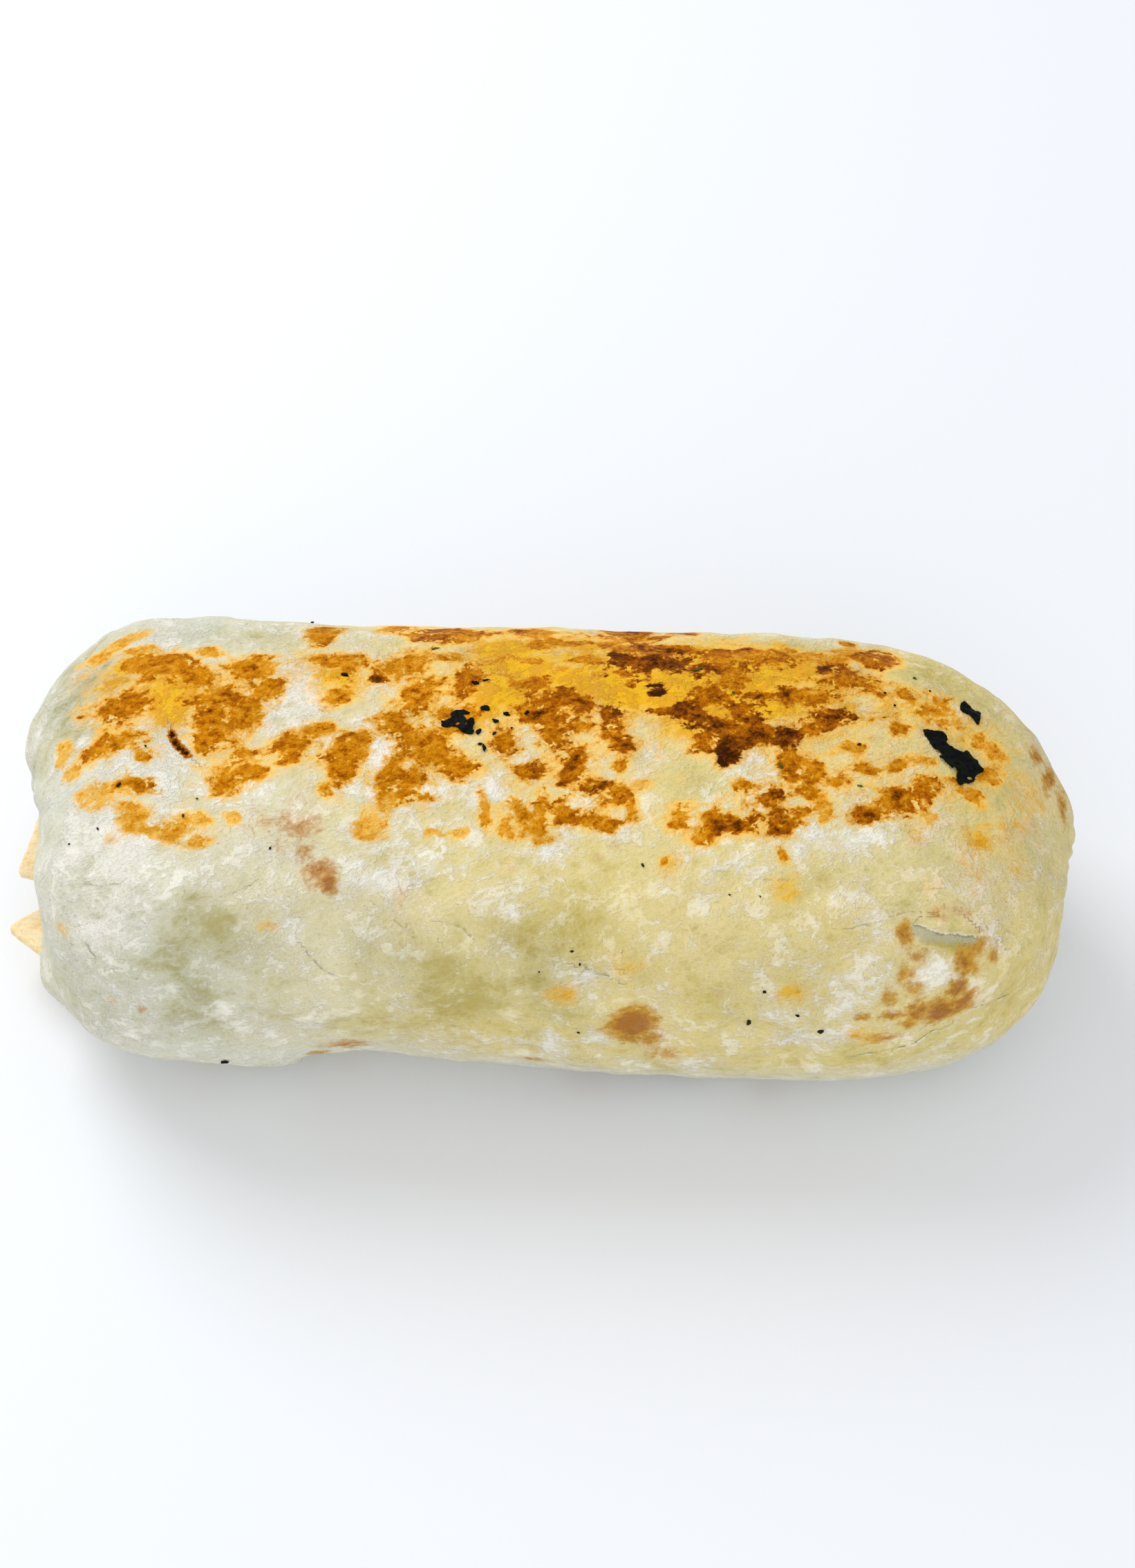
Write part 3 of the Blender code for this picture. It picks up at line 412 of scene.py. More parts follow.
def roll_profile(shares):
    """(x, share of full girth) from the left tip to the right tip, evenly along the surface."""
    left, left_girth = end_curve(LEFT_REACH, LEFT_BLUNT)
    right, right_girth = end_curve(RIGHT_REACH, RIGHT_BLUNT)
    x = np.concatenate((left, ROLL_LENGTH - right[::-1])) - ROLL_LENGTH / 2
    radius = (ROLL_WIDTH + ROLL_HEIGHT) / 4
    girth = np.concatenate((left_girth, right_girth[::-1]))
    x, height = even_samples(np.stack((x, girth * radius), axis=1), shares)
    return x, height / radius


def roll_points(along, around):
    """The smooth roll: points at shares of the way along it and round it."""
    x, girth = roll_profile(along)
    y, z = even_samples(GIRTH, around)
    sag = 1.0 - TOP_SAG * smooth_step(x, SAG_START, SAG_END)
    to_left, to_right = np.where(x < 0, 1.0 - girth, 0.0), np.where(x < 0, 0.0, 1.0 - girth)
    y = girth * y + to_left * LEFT_MIDDLE[0] + to_right * RIGHT_MIDDLE[0]
    z = girth * z * np.where(z > 0, sag, 1.0) + to_left * LEFT_MIDDLE[1] + to_right * RIGHT_MIDDLE[1]
    return np.stack((x, y, z + WAIST_HEIGHT), axis=1)


PROFILE_SHARES = np.linspace(0.0, 1.0, GIRTH_STEPS)
PROFILE_X = roll_profile(PROFILE_SHARES)[0]


def mark_shift(x, s):
    """How far along the roll a place given as (x, s) in mm is moved."""
    right = np.clip(x, 0.0, LEAN_END)
    return MARK_SHIFT + MARK_SPREAD * right + MARK_LEAN * smooth_step(s, 8, 32) * (1.0 - right / LEAN_END)


def surface_frame(x, s):
    """The smooth roll's point at (x, s) in mm, its outward normal and its directions along and round."""
    x += float(mark_shift(x, s))
    along = float(np.interp(x * MM, PROFILE_X, PROFILE_SHARES))
    around = (s * MM / FULL_GIRTH) % 1.0
    step = 0.002
    spots = roll_points(np.array((along, min(along + step, 0.9999), max(along - step, 0.0001), along, along)),
                        np.array((around, around, around, (around + step) % 1.0, (around - step) % 1.0)))
    length = Vector(spots[1] - spots[2]).normalized()
    round_ = Vector(spots[3] - spots[4]).normalized()
    normal = round_.cross(length).normalized()
    return Vector(spots[0]), normal, length, normal.cross(length).normalized() * -1.0


def swell_height(points):
    total = np.zeros(len(points))
    for middle, reach, height in SWELLS:
        offset = (points - np.array(middle) * MM) / (np.array(reach) * MM)
        total += height * MM * np.exp(-(offset**2).sum(axis=1))
    return total


def tuck_height(points):
    depth = (points[:, 0] + ROLL_LENGTH / 2) / END_DEPTH
    felt = np.exp(-(depth**2))
    level = points[:, 2] - WAIST_HEIGHT
    across = points[:, 1] * math.cos(CREASE_TILT) + level * math.sin(CREASE_TILT) - CREASE_HEIGHT
    groove = CREASE_DEPTH * np.exp(-((across / CREASE_HALF_WIDTH) ** 2))
    setback = LOWER_LOBE_SETBACK * smooth_step(-across, 0.0, 2 * CREASE_HALF_WIDTH)
    return -felt * (groove + setback)


def layer_height(points):
    """The outer layer of tortilla, which stops at the torn edge of its flap."""
    x = points[:, 0]
    angle = np.arctan2(-points[:, 1], points[:, 2] - WAIST_HEIGHT) % (2.0 * math.pi)
    fall = smooth_step(x, FLAP_CORNER_X, FLAP_FALL_X)
    edge = FLAP_ANGLE_NEAR + (FLAP_ANGLE_RIGHT - FLAP_ANGLE_NEAR) * fall
    under = smooth_step(-x, -FLAP_CORNER_X, -FLAP_CORNER_X + FLAP_CORNER_SPREAD)
    edge = edge + (FLAP_ANGLE_UNDER - edge) * under
    edge = edge + FLAP_WANDER * layered_noise(points, 9 * MM, 3, 71)
    past = smooth_step(angle, edge, edge + FLAP_EDGE_SOFTNESS)
    back = smooth_step(angle, FLAP_ANGLE_UNDER, FLAP_BACK_END)
    lip = LIP_HEIGHT * np.exp(-(((angle - edge) / LIP_SPREAD) ** 2))
    return lip - LAYER_THICKNESS * past * (1.0 - back)


def offset_from_line(places, line):
    """Signed distance of places (x, s) from a line of points."""
    best = np.full(len(places), np.inf)
    signed = np.zeros(len(places))
    points = np.array(line, dtype=float)
    for start, end in zip(points[:-1], points[1:]):
        run = end - start
        length = np.linalg.norm(run)
        offset = places - start
        share = np.clip(offset @ run / length**2, 0.0, 1.0)
        apart = np.linalg.norm(offset - share[:, None] * run, axis=1)
        side = np.sign(run[0] * offset[:, 1] - run[1] * offset[:, 0])
        nearer = apart < best
        best[nearer] = apart[nearer]
        signed[nearer] = (apart * np.where(side == 0, 1.0, side))[nearer]
    return signed


def crease_fields(places, wobble):
    """Depth of the creases in mm, and the nearest one's signed offset and darkness."""
    depth = np.zeros(len(places))
    offset = np.full(len(places), 4.0)
    darkness = np.zeros(len(places))
    flat = np.column_stack((places, np.zeros(len(places))))
    openness = 0.35 + 0.5 * np.clip(lattice_noise(flat, 3.0, 7) + 0.5, 0.0, 1.3)
    for deep, half, dark, *line in (*CREASES, TEAR, BURNT_SLIT):
        apart = offset_from_line(places + wobble, line)
        depth = np.maximum(depth, deep * openness * np.exp(-((apart / half) ** 2)))
        nearer = np.abs(apart) < np.abs(offset)
        offset[nearer] = apart[nearer]
        darkness[nearer] = dark
    return depth, np.clip(offset, -4.0, 4.0), darkness


def slice_places():
    for name, (reach, corner, turn, tip) in SLICES.items():
        spot = Vector((-ROLL_LENGTH / 2 - reach, *corner))
        yield name, Matrix.Translation(spot) @ Matrix.Rotation(turn, 4, "Z") @ Matrix.Rotation(tip, 4, "X")


def corner_pleats(points):
    """Soft pleats, from -1 to 1, that fan round the far upper corner of the left end."""
    x, y, z = (points / MM).T
    fan = 0.88 * x - 0.48 * y + 2.2 * layered_noise(points, 9 * MM, 2, 61)
    window = smooth_step(-x, 70, 86) * smooth_step(y, -14, 2) * smooth_step(z, 24, 38)
    window *= 0.55 + 0.45 * lattice_noise(points, 7 * MM, 63)
    return window * np.sin(fan * 2.0 * math.pi / PLEAT_SPACING)


def fine_height(points, places, depth):
    """Folds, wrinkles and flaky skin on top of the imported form, in metres."""
    x, s = places[:, 0], places[:, 1]
    lift = 0.42 * layered_noise(points, 15 * MM, 2, 3) + 0.34 * layered_noise(points, 6 * MM, 2, 11)
    wander = np.stack([layered_noise(points, 5 * MM, 2, seed) for seed in (21, 31, 41)], axis=1) * 1.5 * MM
    stretched = (points + wander) * np.array((0.55, 1.0, 1.0))
    ridges = 1.0 - np.abs(lattice_noise(stretched, 2.6 * MM, 51)) * 2.0
    lift += RIDGES * ridges
    lift += CORNER_PLEATS * corner_pleats(points)
    # pleats of the tucked ends, all round them
    ends = smooth_step(np.abs(x), 84, 95)
    turn = np.arctan2(points[:, 1], points[:, 2] - WAIST_HEIGHT)
    lift += END_PLEATS * ends * np.sin(turn * END_PLEAT_COUNT + 2.5 * lattice_noise(points, 14 * MM, 67))
    for middle_x, middle_s, reach, height in BLISTER_DOMES:
        apart = ((x - middle_x) ** 2 + (s - middle_s) ** 2) / reach**2
        lift += height * np.exp(-apart)
    return (lift - depth) * MM


def slot_lips(points):
    """The mouth of each slot stands out a little round the cheese."""
    lift = np.zeros(len(points))
    for _, place in slice_places():
        inverse = np.array(place.inverted())
        local = points @ inverse[:3, :3].T + inverse[:3, 3]
        run = local[:, 0]
        inside = (np.abs(local[:, 1]) < run + SLOT_LIP_BEFORE) & (run < SLOT_LIP_PAST)
        apart = (np.abs(local[:, 2]) - SLICE_THICKNESS / 2 - SLOT_LIP_WIDTH) / SLOT_LIP_WIDTH
        lift += np.where(inside, SLOT_LIP_HEIGHT * np.exp(-(apart**2)), 0.0)
    return lift


# ---------------------------------------------------------------- marks on the surface


def spot_distance(points, x, s, half_along, half_round, turn=0.0):
    """How many half sizes each point is from a spot, along the surface; far away off its side."""
    spot, normal, length, round_ = surface_frame(x, s)
    offset = points - np.array(spot)
    along = offset @ np.array(length)
    up = -(offset @ np.array(round_))
    turn = math.radians(turn)
    first = (along * math.cos(turn) + up * math.sin(turn)) / (half_along * MM)
    second = (-along * math.sin(turn) + up * math.cos(turn)) / (half_round * MM)
    away = np.abs(offset @ np.array(normal)) > SPOT_DEPTH
    return np.where(away, FAR_AWAY, np.hypot(first, second))


def griddle_fields(points):
    """How far inside a griddle mark each point is (0.5 at a mark's rim), and how dark it is there."""
    marks = [tuple(mark) for mark in GRIDDLE_MARKS]
    dice = np.random.default_rng(4)
    for count, x0, x1, s0, s1, dark0, dark1 in SEEDED_GRIDDLE:
        for _ in range(count):
            size = dice.uniform(1.2, 4.0)
            marks.append((dice.uniform(x0, x1), dice.uniform(s0, s1), size, size * dice.uniform(0.45, 0.9),
                          dice.uniform(-60, 60), dice.uniform(dark0, dark1)))
    total = np.ones(len(points))
    dark, weight = np.zeros(len(points)), np.full(len(points), 1e-6)
    felt = [(np.clip(1.0 - 0.5 * spot_distance(points, *mark[:5]), 0.0, 1.0), mark[5]) for mark in marks]
    felt += [(lace[4] * np.exp(-(spot_distance(points, *lace[:4]) ** 2)), lace[5]) for lace in GRIDDLE_LACE]
    for inside, darkness in felt:
        total += np.exp(MARK_FUSING * inside) - 1.0
        dark += darkness * inside**4
        weight += inside**4
    return np.log(total) / MARK_FUSING, dark / weight


def soft_field(points, spots):
    total = np.zeros(len(points))
    for x, s, reach_along, reach_round, strength in spots:
        total += strength * np.exp(-(spot_distance(points, x, s, reach_along, reach_round) ** 2))
    return total


def toast_fields(points):
    spots = list(TOASTED_SPOTS)
    dice = np.random.default_rng(9)
    for count, x0, x1, s0, s1 in SEEDED_TOAST:
        for _ in range(count):
            size = dice.uniform(1.6, 4.6)
            spots.append((dice.uniform(x0, x1), dice.uniform(s0, s1), size, size * dice.uniform(0.7, 1.1),
                          dice.uniform(0.6, 1.05), dice.uniform(0.3, 0.9)))
    level, red, weight = np.zeros(len(points)), np.zeros(len(points)), np.full(len(points), 1e-9)
    for x, s, reach_along, reach_round, strength, redness in spots:
        felt = strength * np.exp(-(spot_distance(points, x, s, reach_along, reach_round) ** 2))
        level = np.maximum(level, felt)
        red += redness * felt**4
        weight += felt**4
    return level, red / weight


def read_points(mesh):
    flat = np.empty(len(mesh.vertices) * 3)
    mesh.vertices.foreach_get("co", flat)
    return flat.reshape(-1, 3)


def write_points(mesh, points):
    mesh.vertices.foreach_set("co", np.ascontiguousarray(points, dtype=np.float32).ravel())
    mesh.update()


def read_normals(mesh):
    flat = np.empty(len(mesh.vertices) * 3, dtype=np.float32)
    mesh.vertex_normals.foreach_get("vector", flat)
    return flat.reshape(-1, 3).astype(float)


def write_field(mesh, name, values):
    layer = mesh.attributes.new(name, "FLOAT", "POINT")
    layer.data.foreach_set("value", np.ascontiguousarray(values, dtype=np.float32))


def frame_shift():
    """From the roll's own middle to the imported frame."""
    low, high = (np.array(corner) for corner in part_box(WRAP_NODE))
    along, around = np.meshgrid(np.linspace(0.002, 0.998, FRAME_SAMPLES), np.linspace(0.0, 0.998, FRAME_SAMPLES))
    points = roll_points(along.ravel(), around.ravel())
    lift = swell_height(points) + tuck_height(points)
    spread = points.copy()
    middle = np.array((0.0, 0.0, WAIST_HEIGHT))
    outward = (points - middle) / np.array((ROLL_LENGTH, ROLL_WIDTH, ROLL_HEIGHT)) ** 2
    outward /= np.linalg.norm(outward, axis=1)[:, None]
    spread += outward * lift[:, None]
    shift = (low + high) / 2 - (spread.min(axis=0) + spread.max(axis=0)) / 2
    return np.array((shift[0], shift[1], low[2]))


SHIFT = frame_shift()


# ---------------------------------------------------------------- shader nodes


def add_node(tree, kind, values=None, **options):
    made = tree.nodes.new("ShaderNode" + kind)
    for option, value in options.items():
        setattr(made, option, value)
    for socket, value in (values or {}).items():
        if isinstance(value, bpy.types.NodeSocket):
            tree.links.new(value, made.inputs[socket])
        else:
            made.inputs[socket].default_value = value
    return made


def calculate(tree, operation, first, second=0.0, third=0.0):
    return add_node(tree, "Math", {0: first, 1: second, 2: third}, operation=operation).outputs[0]


def blend(tree, share, first, second):
    """A colour between two: the first where share is 0."""
    colours = [value if isinstance(value, bpy.types.NodeSocket) else (*value, 1.0) for value in (first, second)]
    return add_node(tree, "Mix", {0: share, 6: colours[0], 7: colours[1]}, data_type="RGBA").outputs[2]


def step_up(tree, value, low, high):
    return add_node(tree, "MapRange", {"Value": value, "From Min": low, "From Max": high},
                    interpolation_type="SMOOTHSTEP").outputs["Result"]


def speckle(tree, vector, size, detail=2.0, rough=0.5, twist=0.0):
    """Noise round 0, about half of it within 0.3, whose bumps are about as wide as size."""
    made = add_node(tree, "TexNoise", {"Vector": vector, "Scale": 1.0 / size, "Detail": detail,
                                       "Roughness": rough, "Distortion": twist})
    return calculate(tree, "MULTIPLY_ADD", made.outputs["Fac"], 4.0, -2.0)


def bent(tree, vector, size, reach):
    """The vector pushed about smoothly by up to reach, over bumps about as wide as size."""
    push = add_node(tree, "TexNoise", {"Vector": vector, "Scale": 1.0 / size, "Detail": 1.0}).outputs["Color"]
    push = add_node(tree, "VectorMath", {0: push, 1: (0.5, 0.5, 0.5)}, operation="SUBTRACT").outputs["Vector"]
    return add_node(tree, "VectorMath", {0: push, 1: (4 * reach,) * 3, 2: vector},
                    operation="MULTIPLY_ADD").outputs["Vector"]


def round_holes(tree, vector, size, share):
    """1 in the middle of round spots, 0 between them; a share of the cells, each size wide, has one."""
    cells = add_node(tree, "TexVoronoi", {"Vector": vector, "Scale": 1.0 / size})
    chosen = step_up(tree, cells.outputs["Color"], 1.0 - share - 0.08, 1.0 - share + 0.08)
    near = calculate(tree, "SUBTRACT", 1.0, step_up(tree, cells.outputs["Distance"], 0.12, 0.46))
    return calculate(tree, "MULTIPLY", near, chosen)


def weighted(tree, *terms):
    """The sum of (value, weight) pairs."""
    total = None
    for value, weight in terms:
        total = calculate(tree, "MULTIPLY_ADD", value, weight, 0.0 if total is None else total)
    return total


def food_grain_group():
    """Fine surface of food: a tone round 0.5 and a height, from two sizes of grain."""
    made = bpy.data.node_groups.get("Food grain")
    if made:
        return made
    made = bpy.data.node_groups.new("Food grain", "ShaderNodeTree")
    for name, kind, way in (("Vector", "NodeSocketVector", "INPUT"), ("Coarse Scale", "NodeSocketFloat", "INPUT"),
                            ("Fine Scale", "NodeSocketFloat", "INPUT"), ("Tone", "NodeSocketFloat", "OUTPUT"),
                            ("Height", "NodeSocketFloat", "OUTPUT")):
        made.interface.new_socket(name, in_out=way, socket_type=kind)
    enter, leave = made.nodes.new("NodeGroupInput"), made.nodes.new("NodeGroupOutput")
    coarse = add_node(made, "TexNoise", {"Vector": enter.outputs["Vector"], "Scale": enter.outputs["Coarse Scale"],
                                         "Detail": 3.0, "Roughness": 0.6, "Distortion": 0.3}).outputs["Fac"]
    fine = add_node(made, "TexNoise", {"Vector": enter.outputs["Vector"], "Scale": enter.outputs["Fine Scale"],
                                       "Detail": 2.0, "Roughness": 0.6}).outputs["Fac"]
    made.links.new(weighted(made, (coarse, 0.6), (fine, 0.4)), leave.inputs["Tone"])
    made.links.new(weighted(made, (coarse, 0.7), (fine, 0.3)), leave.inputs["Height"])
    return made


def add_grain(tree, vector, coarse, fine):
    made = tree.nodes.new("ShaderNodeGroup")
    made.node_tree = food_grain_group()
    tree.links.new(vector, made.inputs["Vector"])
    made.inputs["Coarse Scale"].default_value = 1.0 / coarse
    made.inputs["Fine Scale"].default_value = 1.0 / fine
    return made.outputs["Tone"], made.outputs["Height"]


def new_material(name):
    material = bpy.data.materials.new(name)
    material.use_nodes = True
    tree = material.node_tree
    return material, tree, tree.nodes["Principled BSDF"]


def add_bump(tree, shader, height, strength, distance):
    bump = add_node(tree, "Bump", {"Height": height, "Strength": strength, "Distance": distance})
    tree.links.new(bump.outputs["Normal"], shader.inputs["Normal"])


def soften(shader, share, radius, scale, specular):
    """Light that goes in and comes out again, and how much the surface mirrors."""
    for name, value in (("Subsurface Weight", share), ("Subsurface Radius", radius), ("Subsurface Scale", scale),
                        ("Specular IOR Level", specular)):
        shader.inputs[name].default_value = value


def colour_ramp(tree, value, shades):
    made = add_node(tree, "ValToRGB", {"Fac": value})
    stops = made.color_ramp.elements
    while len(stops) < len(shades):
        stops.new(0.5)
    for stop, (position, shade) in zip(stops, shades):
        stop.position = position
        stop.color = (*shade[:3], 1.0)
    return made.outputs["Color"]


class Weave:
    """The values that vary over one material, by name, and the nodes that join them."""

    def __init__(self, tree):
        self.tree, self.values = tree, {}

    def __setitem__(self, name, value):
        self.values[name] = value

    def __getitem__(self, value):
        """What a name stands for, which is a field of the mesh if nothing else; no name, no change."""
        if not isinstance(value, str):
            return value
        if value not in self.values:
            self.values[value] = add_node(self.tree, "Attribute", attribute_name=value).outputs["Fac"]
        return self.values[value]

    def times(self, first, second, plus=0.0):
        return calculate(self.tree, "MULTIPLY_ADD", self[first], self[second], plus)

    def less(self, first, second):
        return calculate(self.tree, "SUBTRACT", self[first], self[second])

    def rest(self, value):
        """What is left of 1."""
        return self.less(1.0, value)

    def sum(self, **weights):
        return weighted(self.tree, *((self[name], weight) for name, weight in weights.items()))

    def step(self, value, low, high):
        return step_up(self.tree, self[value], low, high)

    def band(self, value, low, high, last_value, fall, end):
        """1 from where value passes high to where last_value passes fall, with soft sides."""
        return self.times(self.step(value, low, high), self.rest(self.step(last_value, fall, end)))

    def blend(self, share, first, second):
        return blend(self.tree, self[share], first, second)


def add_noises(v, place):
    """The noises that every layer of the tortilla's look shares."""
    swirled = bent(v.tree, place, 9 * MM, 0.8 * MM)
    slanted = add_node(v.tree, "Mapping", {"Vector": swirled, "Rotation": SLANT_TURN, "Scale": SLANT_STRETCH},
                       vector_type="TEXTURE").outputs["Vector"]
    ways = {"straight": place, "swirled": swirled, "slanted": slanted}
    for name, (way, size, detail, rough, twist) in NOISES.items():
        v[name] = speckle(v.tree, ways[way], size * MM, detail, rough, twist)
    v["grain"] = add_grain(v.tree, place, 1.2 * MM, 0.4 * MM)[1]


def dough_layer(v, dough):
    """White flaky skin, cream, and see-through dough where the filling darkens it, with painted light and shade of
    the pleats and the far shoulder.
    """
    v["thinned"] = v.sum(sheer=0.80, broad=-0.34, patchy=-0.40, wisps=-0.30, threads=-0.16)
    v["see_through"] = v.step("thinned", -0.28, 0.90)
    v["white"] = v.step(v.sum(floury=0.85, broad=0.34, patchy=0.50, wisps=0.34, threads=0.24), -0.05, 0.80)
    v["flaky"] = v.step(v.sum(wisps=0.9, patchy=0.8, threads=0.30), 0.15, 0.22)
    cream = v.blend("warmth", dough.cream_cool, dough.cream_warm)
    thin = v.blend("warmth", dough.sheer_cool, dough.sheer_warm)
    thin = v.blend(v.step(v.sum(thinned=1.0, flecks=-0.30), 0.35, 1.15), thin,
                   v.blend("warmth", dough.deep_cool, dough.deep_warm))
    colour = v.blend("white", cream, dough.white)
    colour = v.blend("see_through", colour, thin)
    return v.blend(v.times("flaky", 0.07), colour, dough.white)


def oil_layer(v, heat, colour):
    """A warm tint round the griddled places, and mottled yellow oil."""
    v["close"] = v.step("griddle", 0.03, 0.24)
    soaked = v.step(v.sum(oil=1.0, patchy=0.50, flecks=0.30, wisps=0.30, chips=0.14), 0.0, 1.08)
    v["soaked"] = v.times(soaked, v.times(v.step("oil", 0.0, 0.30), 0.95))
    mottled = v.step(v.sum(wisps=0.6, patchy=0.6, threads=0.3, crumbs=0.10), -0.06, 0.26)
    mottled = v.times(mottled, v.step("oil", 0.35, 0.95))
    stain = v.blend(v.times(mottled, 0.50), heat.oil, heat.golden)
    glow = v.step(v.sum(griddle=1.0, patchy=-0.34, flecks=0.22, wisps=0.16, broad=-0.20), 0.02, 0.55)
    colour = v.blend(v.times(v.times(glow, "close"), 0.72), colour, heat.glow)
    return v.blend("soaked", colour, stain)


def toast_layer(v, heat, colour):
    """Soft toasted blisters, stippled."""
    v["stipple"] = v.sum(toast=1.0, flecks=0.30, wisps=0.34, chips=0.30, threads=0.16)
    toasted = v.times(v.step("stipple", 0.10, 0.84), v.step("toast", 0.08, 0.36))
    shade = v.blend("redness", heat.toast_golden, heat.toast_red)
    shade = v.blend(v.step(v.sum(stipple=1.0, crumbs=0.12), 0.66, 1.30), shade, heat.toast_crisp)
    return v.blend(v.times(toasted, 0.92), colour, shade)


def griddle_layer(v, heat, colour, place):
    """Griddle marks with ragged rims, small round holes and an orange halo."""
    holes = round_holes(v.tree, bent(v.tree, place, 1.2 * MM, 0.9 * MM), 2.2 * MM, 0.50)
    v["holes"] = v.times(holes, v.rest(v.step("darkness", 0.72, 0.88)))
    v["level"] = v.sum(griddle=1.0, patchy=-0.13, flecks=0.23, chips=0.15, crumbs=0.03, holes=-0.32)
    v["mark"] = v.step("level", 0.39, 0.56)
    v["rim"] = v.less(v.step("level", 0.46, 0.56), v.step("level", 0.58, 0.78))
    halo = v.times("close", v.step("level", 0.14, 0.48))
    amber = v.times("close", v.step(v.sum(level=1.0, wisps=0.12), 0.32, 0.50))
    colour = v.blend(v.times(halo, v.times("soaked", -0.75, 0.80)), colour, heat.halo)
    colour = v.blend(v.times(amber, v.times("soaked", -0.25, 0.65)), colour, heat.pale)
    hot = v.sum(darkness=1.0, level=0.40, rim=0.10, holes=-0.22, flecks=0.24, chips=0.18, patchy=-0.10,
                threads=0.10, crumbs=0.05)
    shades = [(stop, getattr(heat, name)) for stop, name in HEAT_SHADES]
    return v.blend("mark", colour, colour_ramp(v.tree, v.less(hot, COOLEST), shades))


def crack_layer(v, dough, heat, colour):
    """Cracks with pale lips and painted shade lines, the torn flap with the painted shade of its recess under it,
    and the burnt slit.
    """
    v["across"] = v.sum(crease_offset=1.0, chips=0.18, crumbs=0.10)
    apart = calculate(v.tree, "ABSOLUTE", v["across"])
    open_share = v.step(v.sum(flecks=1.0, chips=0.9, crease_darkness=0.9), 0.30, 0.90)
    open_share = v.times(open_share, "crease_darkness")
    torn = v.step("crease_darkness", 0.90, 0.98)
    ripped = v.sum(across=1.0, flecks=0.9, chips=0.6)
    # The dark line along a crack is painted shade; along the tear it is weaker.
    line = v.times(v.rest(v.step(apart, 0.04, 0.30)), open_share)
    v["line"] = v.times(line, v.times(torn, -0.55, 1.0))
    v["lip"] = v.times(v.times(v.band("across", 0.05, 0.30, "across", 0.35, 1.20), open_share), v.rest(torn))
    # The recess under the torn flap is the inner dough's colour, darkened with painted shade.
    v["hollow"] = v.times(v.band("across", -0.05, 0.15, ripped, 0.5, 2.3), torn)
    v["edge"] = v.times(v.band("across", -0.90, -0.25, "across", -0.10, 0.05), torn)
    for name, share, shade in (("hollow", 0.8, dough.hollow), ("edge", 0.5, dough.white),
                               ("lip", 0.7, dough.white), ("line", 0.70, dough.crack)):
        colour = v.blend(v.times(name, share), colour, shade)
    singed = v.sum(burnt=1.0, chips=0.16, threads=0.14)
    v["charred"] = v.step(singed, 0.62, 0.80)
    colour = v.blend(v.step(singed, 0.30, 0.55), colour, heat.brown)
    return v.blend("charred", colour, heat.burnt)


def tortilla_relief(v):
    """How high the skin, the crust of the marks and the cracks stand, in shares of RELIEF."""
    skin = v.sum(wisps=0.25, threads=0.17, patchy=0.28, grain=0.22, white=0.12)
    v["skin"] = v.times(skin, v.times(v.step("broad", -0.7, 0.5), 0.6, 0.55))
    v["crust"] = v.times("mark", v.sum(chips=0.16, crumbs=0.10, holes=-0.15))
    return v.sum(skin=1.0, flaky=0.05, crust=1.0, mark=-0.10, line=-0.5, lip=0.22, hollow=-0.2, edge=0.15,
                 charred=-0.8)


def tortilla_material():
    dough, heat = settings("burrito_dough"), settings("burrito_griddle")
    material, tree, shader = new_material("griddled_tortilla")
    place = add_node(tree, "TexCoord").outputs["Object"]
    v = Weave(tree)
    add_noises(v, place)
    colour = dough_layer(v, dough)
    colour = oil_layer(v, heat, colour)
    colour = toast_layer(v, heat, colour)
    colour = griddle_layer(v, heat, colour, place)
    colour = crack_layer(v, dough, heat, colour)
    rough = v.sum(see_through=-0.10, soaked=-0.14, mark=-0.12, threads=0.05)
    tree.links.new(colour, shader.inputs["Base Color"])
    tree.links.new(calculate(tree, "ADD", rough, DOUGH_ROUGHNESS), shader.inputs["Roughness"])
    add_bump(tree, shader, tortilla_relief(v), 1.0, RELIEF)
    soften(shader, 0.06, (1.0, 0.6, 0.3), 1.5 * MM, 0.02)
    return material


def grained_material(name, colours, coarse, fine, roughness, distance, specular=0.12):
    """A small thing's finish: three colours spread by the food grain."""
    material, tree, shader = new_material(name)
    place = add_node(tree, "TexCoord").outputs["Object"]
    tone, height = add_grain(tree, place, coarse, fine)
    colour = blend(tree, step_up(tree, tone, 0.36, 0.56), colours[0], colours[1])
    colour = blend(tree, step_up(tree, tone, 0.54, 0.70), colour, colours[2])
    tree.links.new(colour, shader.inputs["Base Color"])
    tree.links.new(calculate(tree, "MULTIPLY_ADD", tone, 0.3, roughness - 0.15), shader.inputs["Roughness"])
    add_bump(tree, shader, height, 0.7, distance)
    shader.inputs["Specular IOR Level"].default_value = specular
    return material, shader


# ---------------------------------------------------------------- pieces


def take_mesh(piece, name):
    piece.name = name
    piece.data.name = name
    clear_selection()
    piece.select_set(True)
    bpy.context.view_layer.objects.active = piece
    return piece


def select_edges(piece, wanted):
    """Edit mode, with just the wanted edges selected."""
    bpy.ops.object.mode_set(mode="EDIT")
    bpy.ops.mesh.select_mode(type="EDGE")
    bpy.ops.mesh.select_all(action="DESELECT")
    bpy.ops.object.mode_set(mode="OBJECT")
    points = [vertex.co for vertex in piece.data.vertices]
    for edge in piece.data.edges:
        edge.select = wanted(points[edge.vertices[0]], points[edge.vertices[1]])
    bpy.ops.object.mode_set(mode="EDIT")


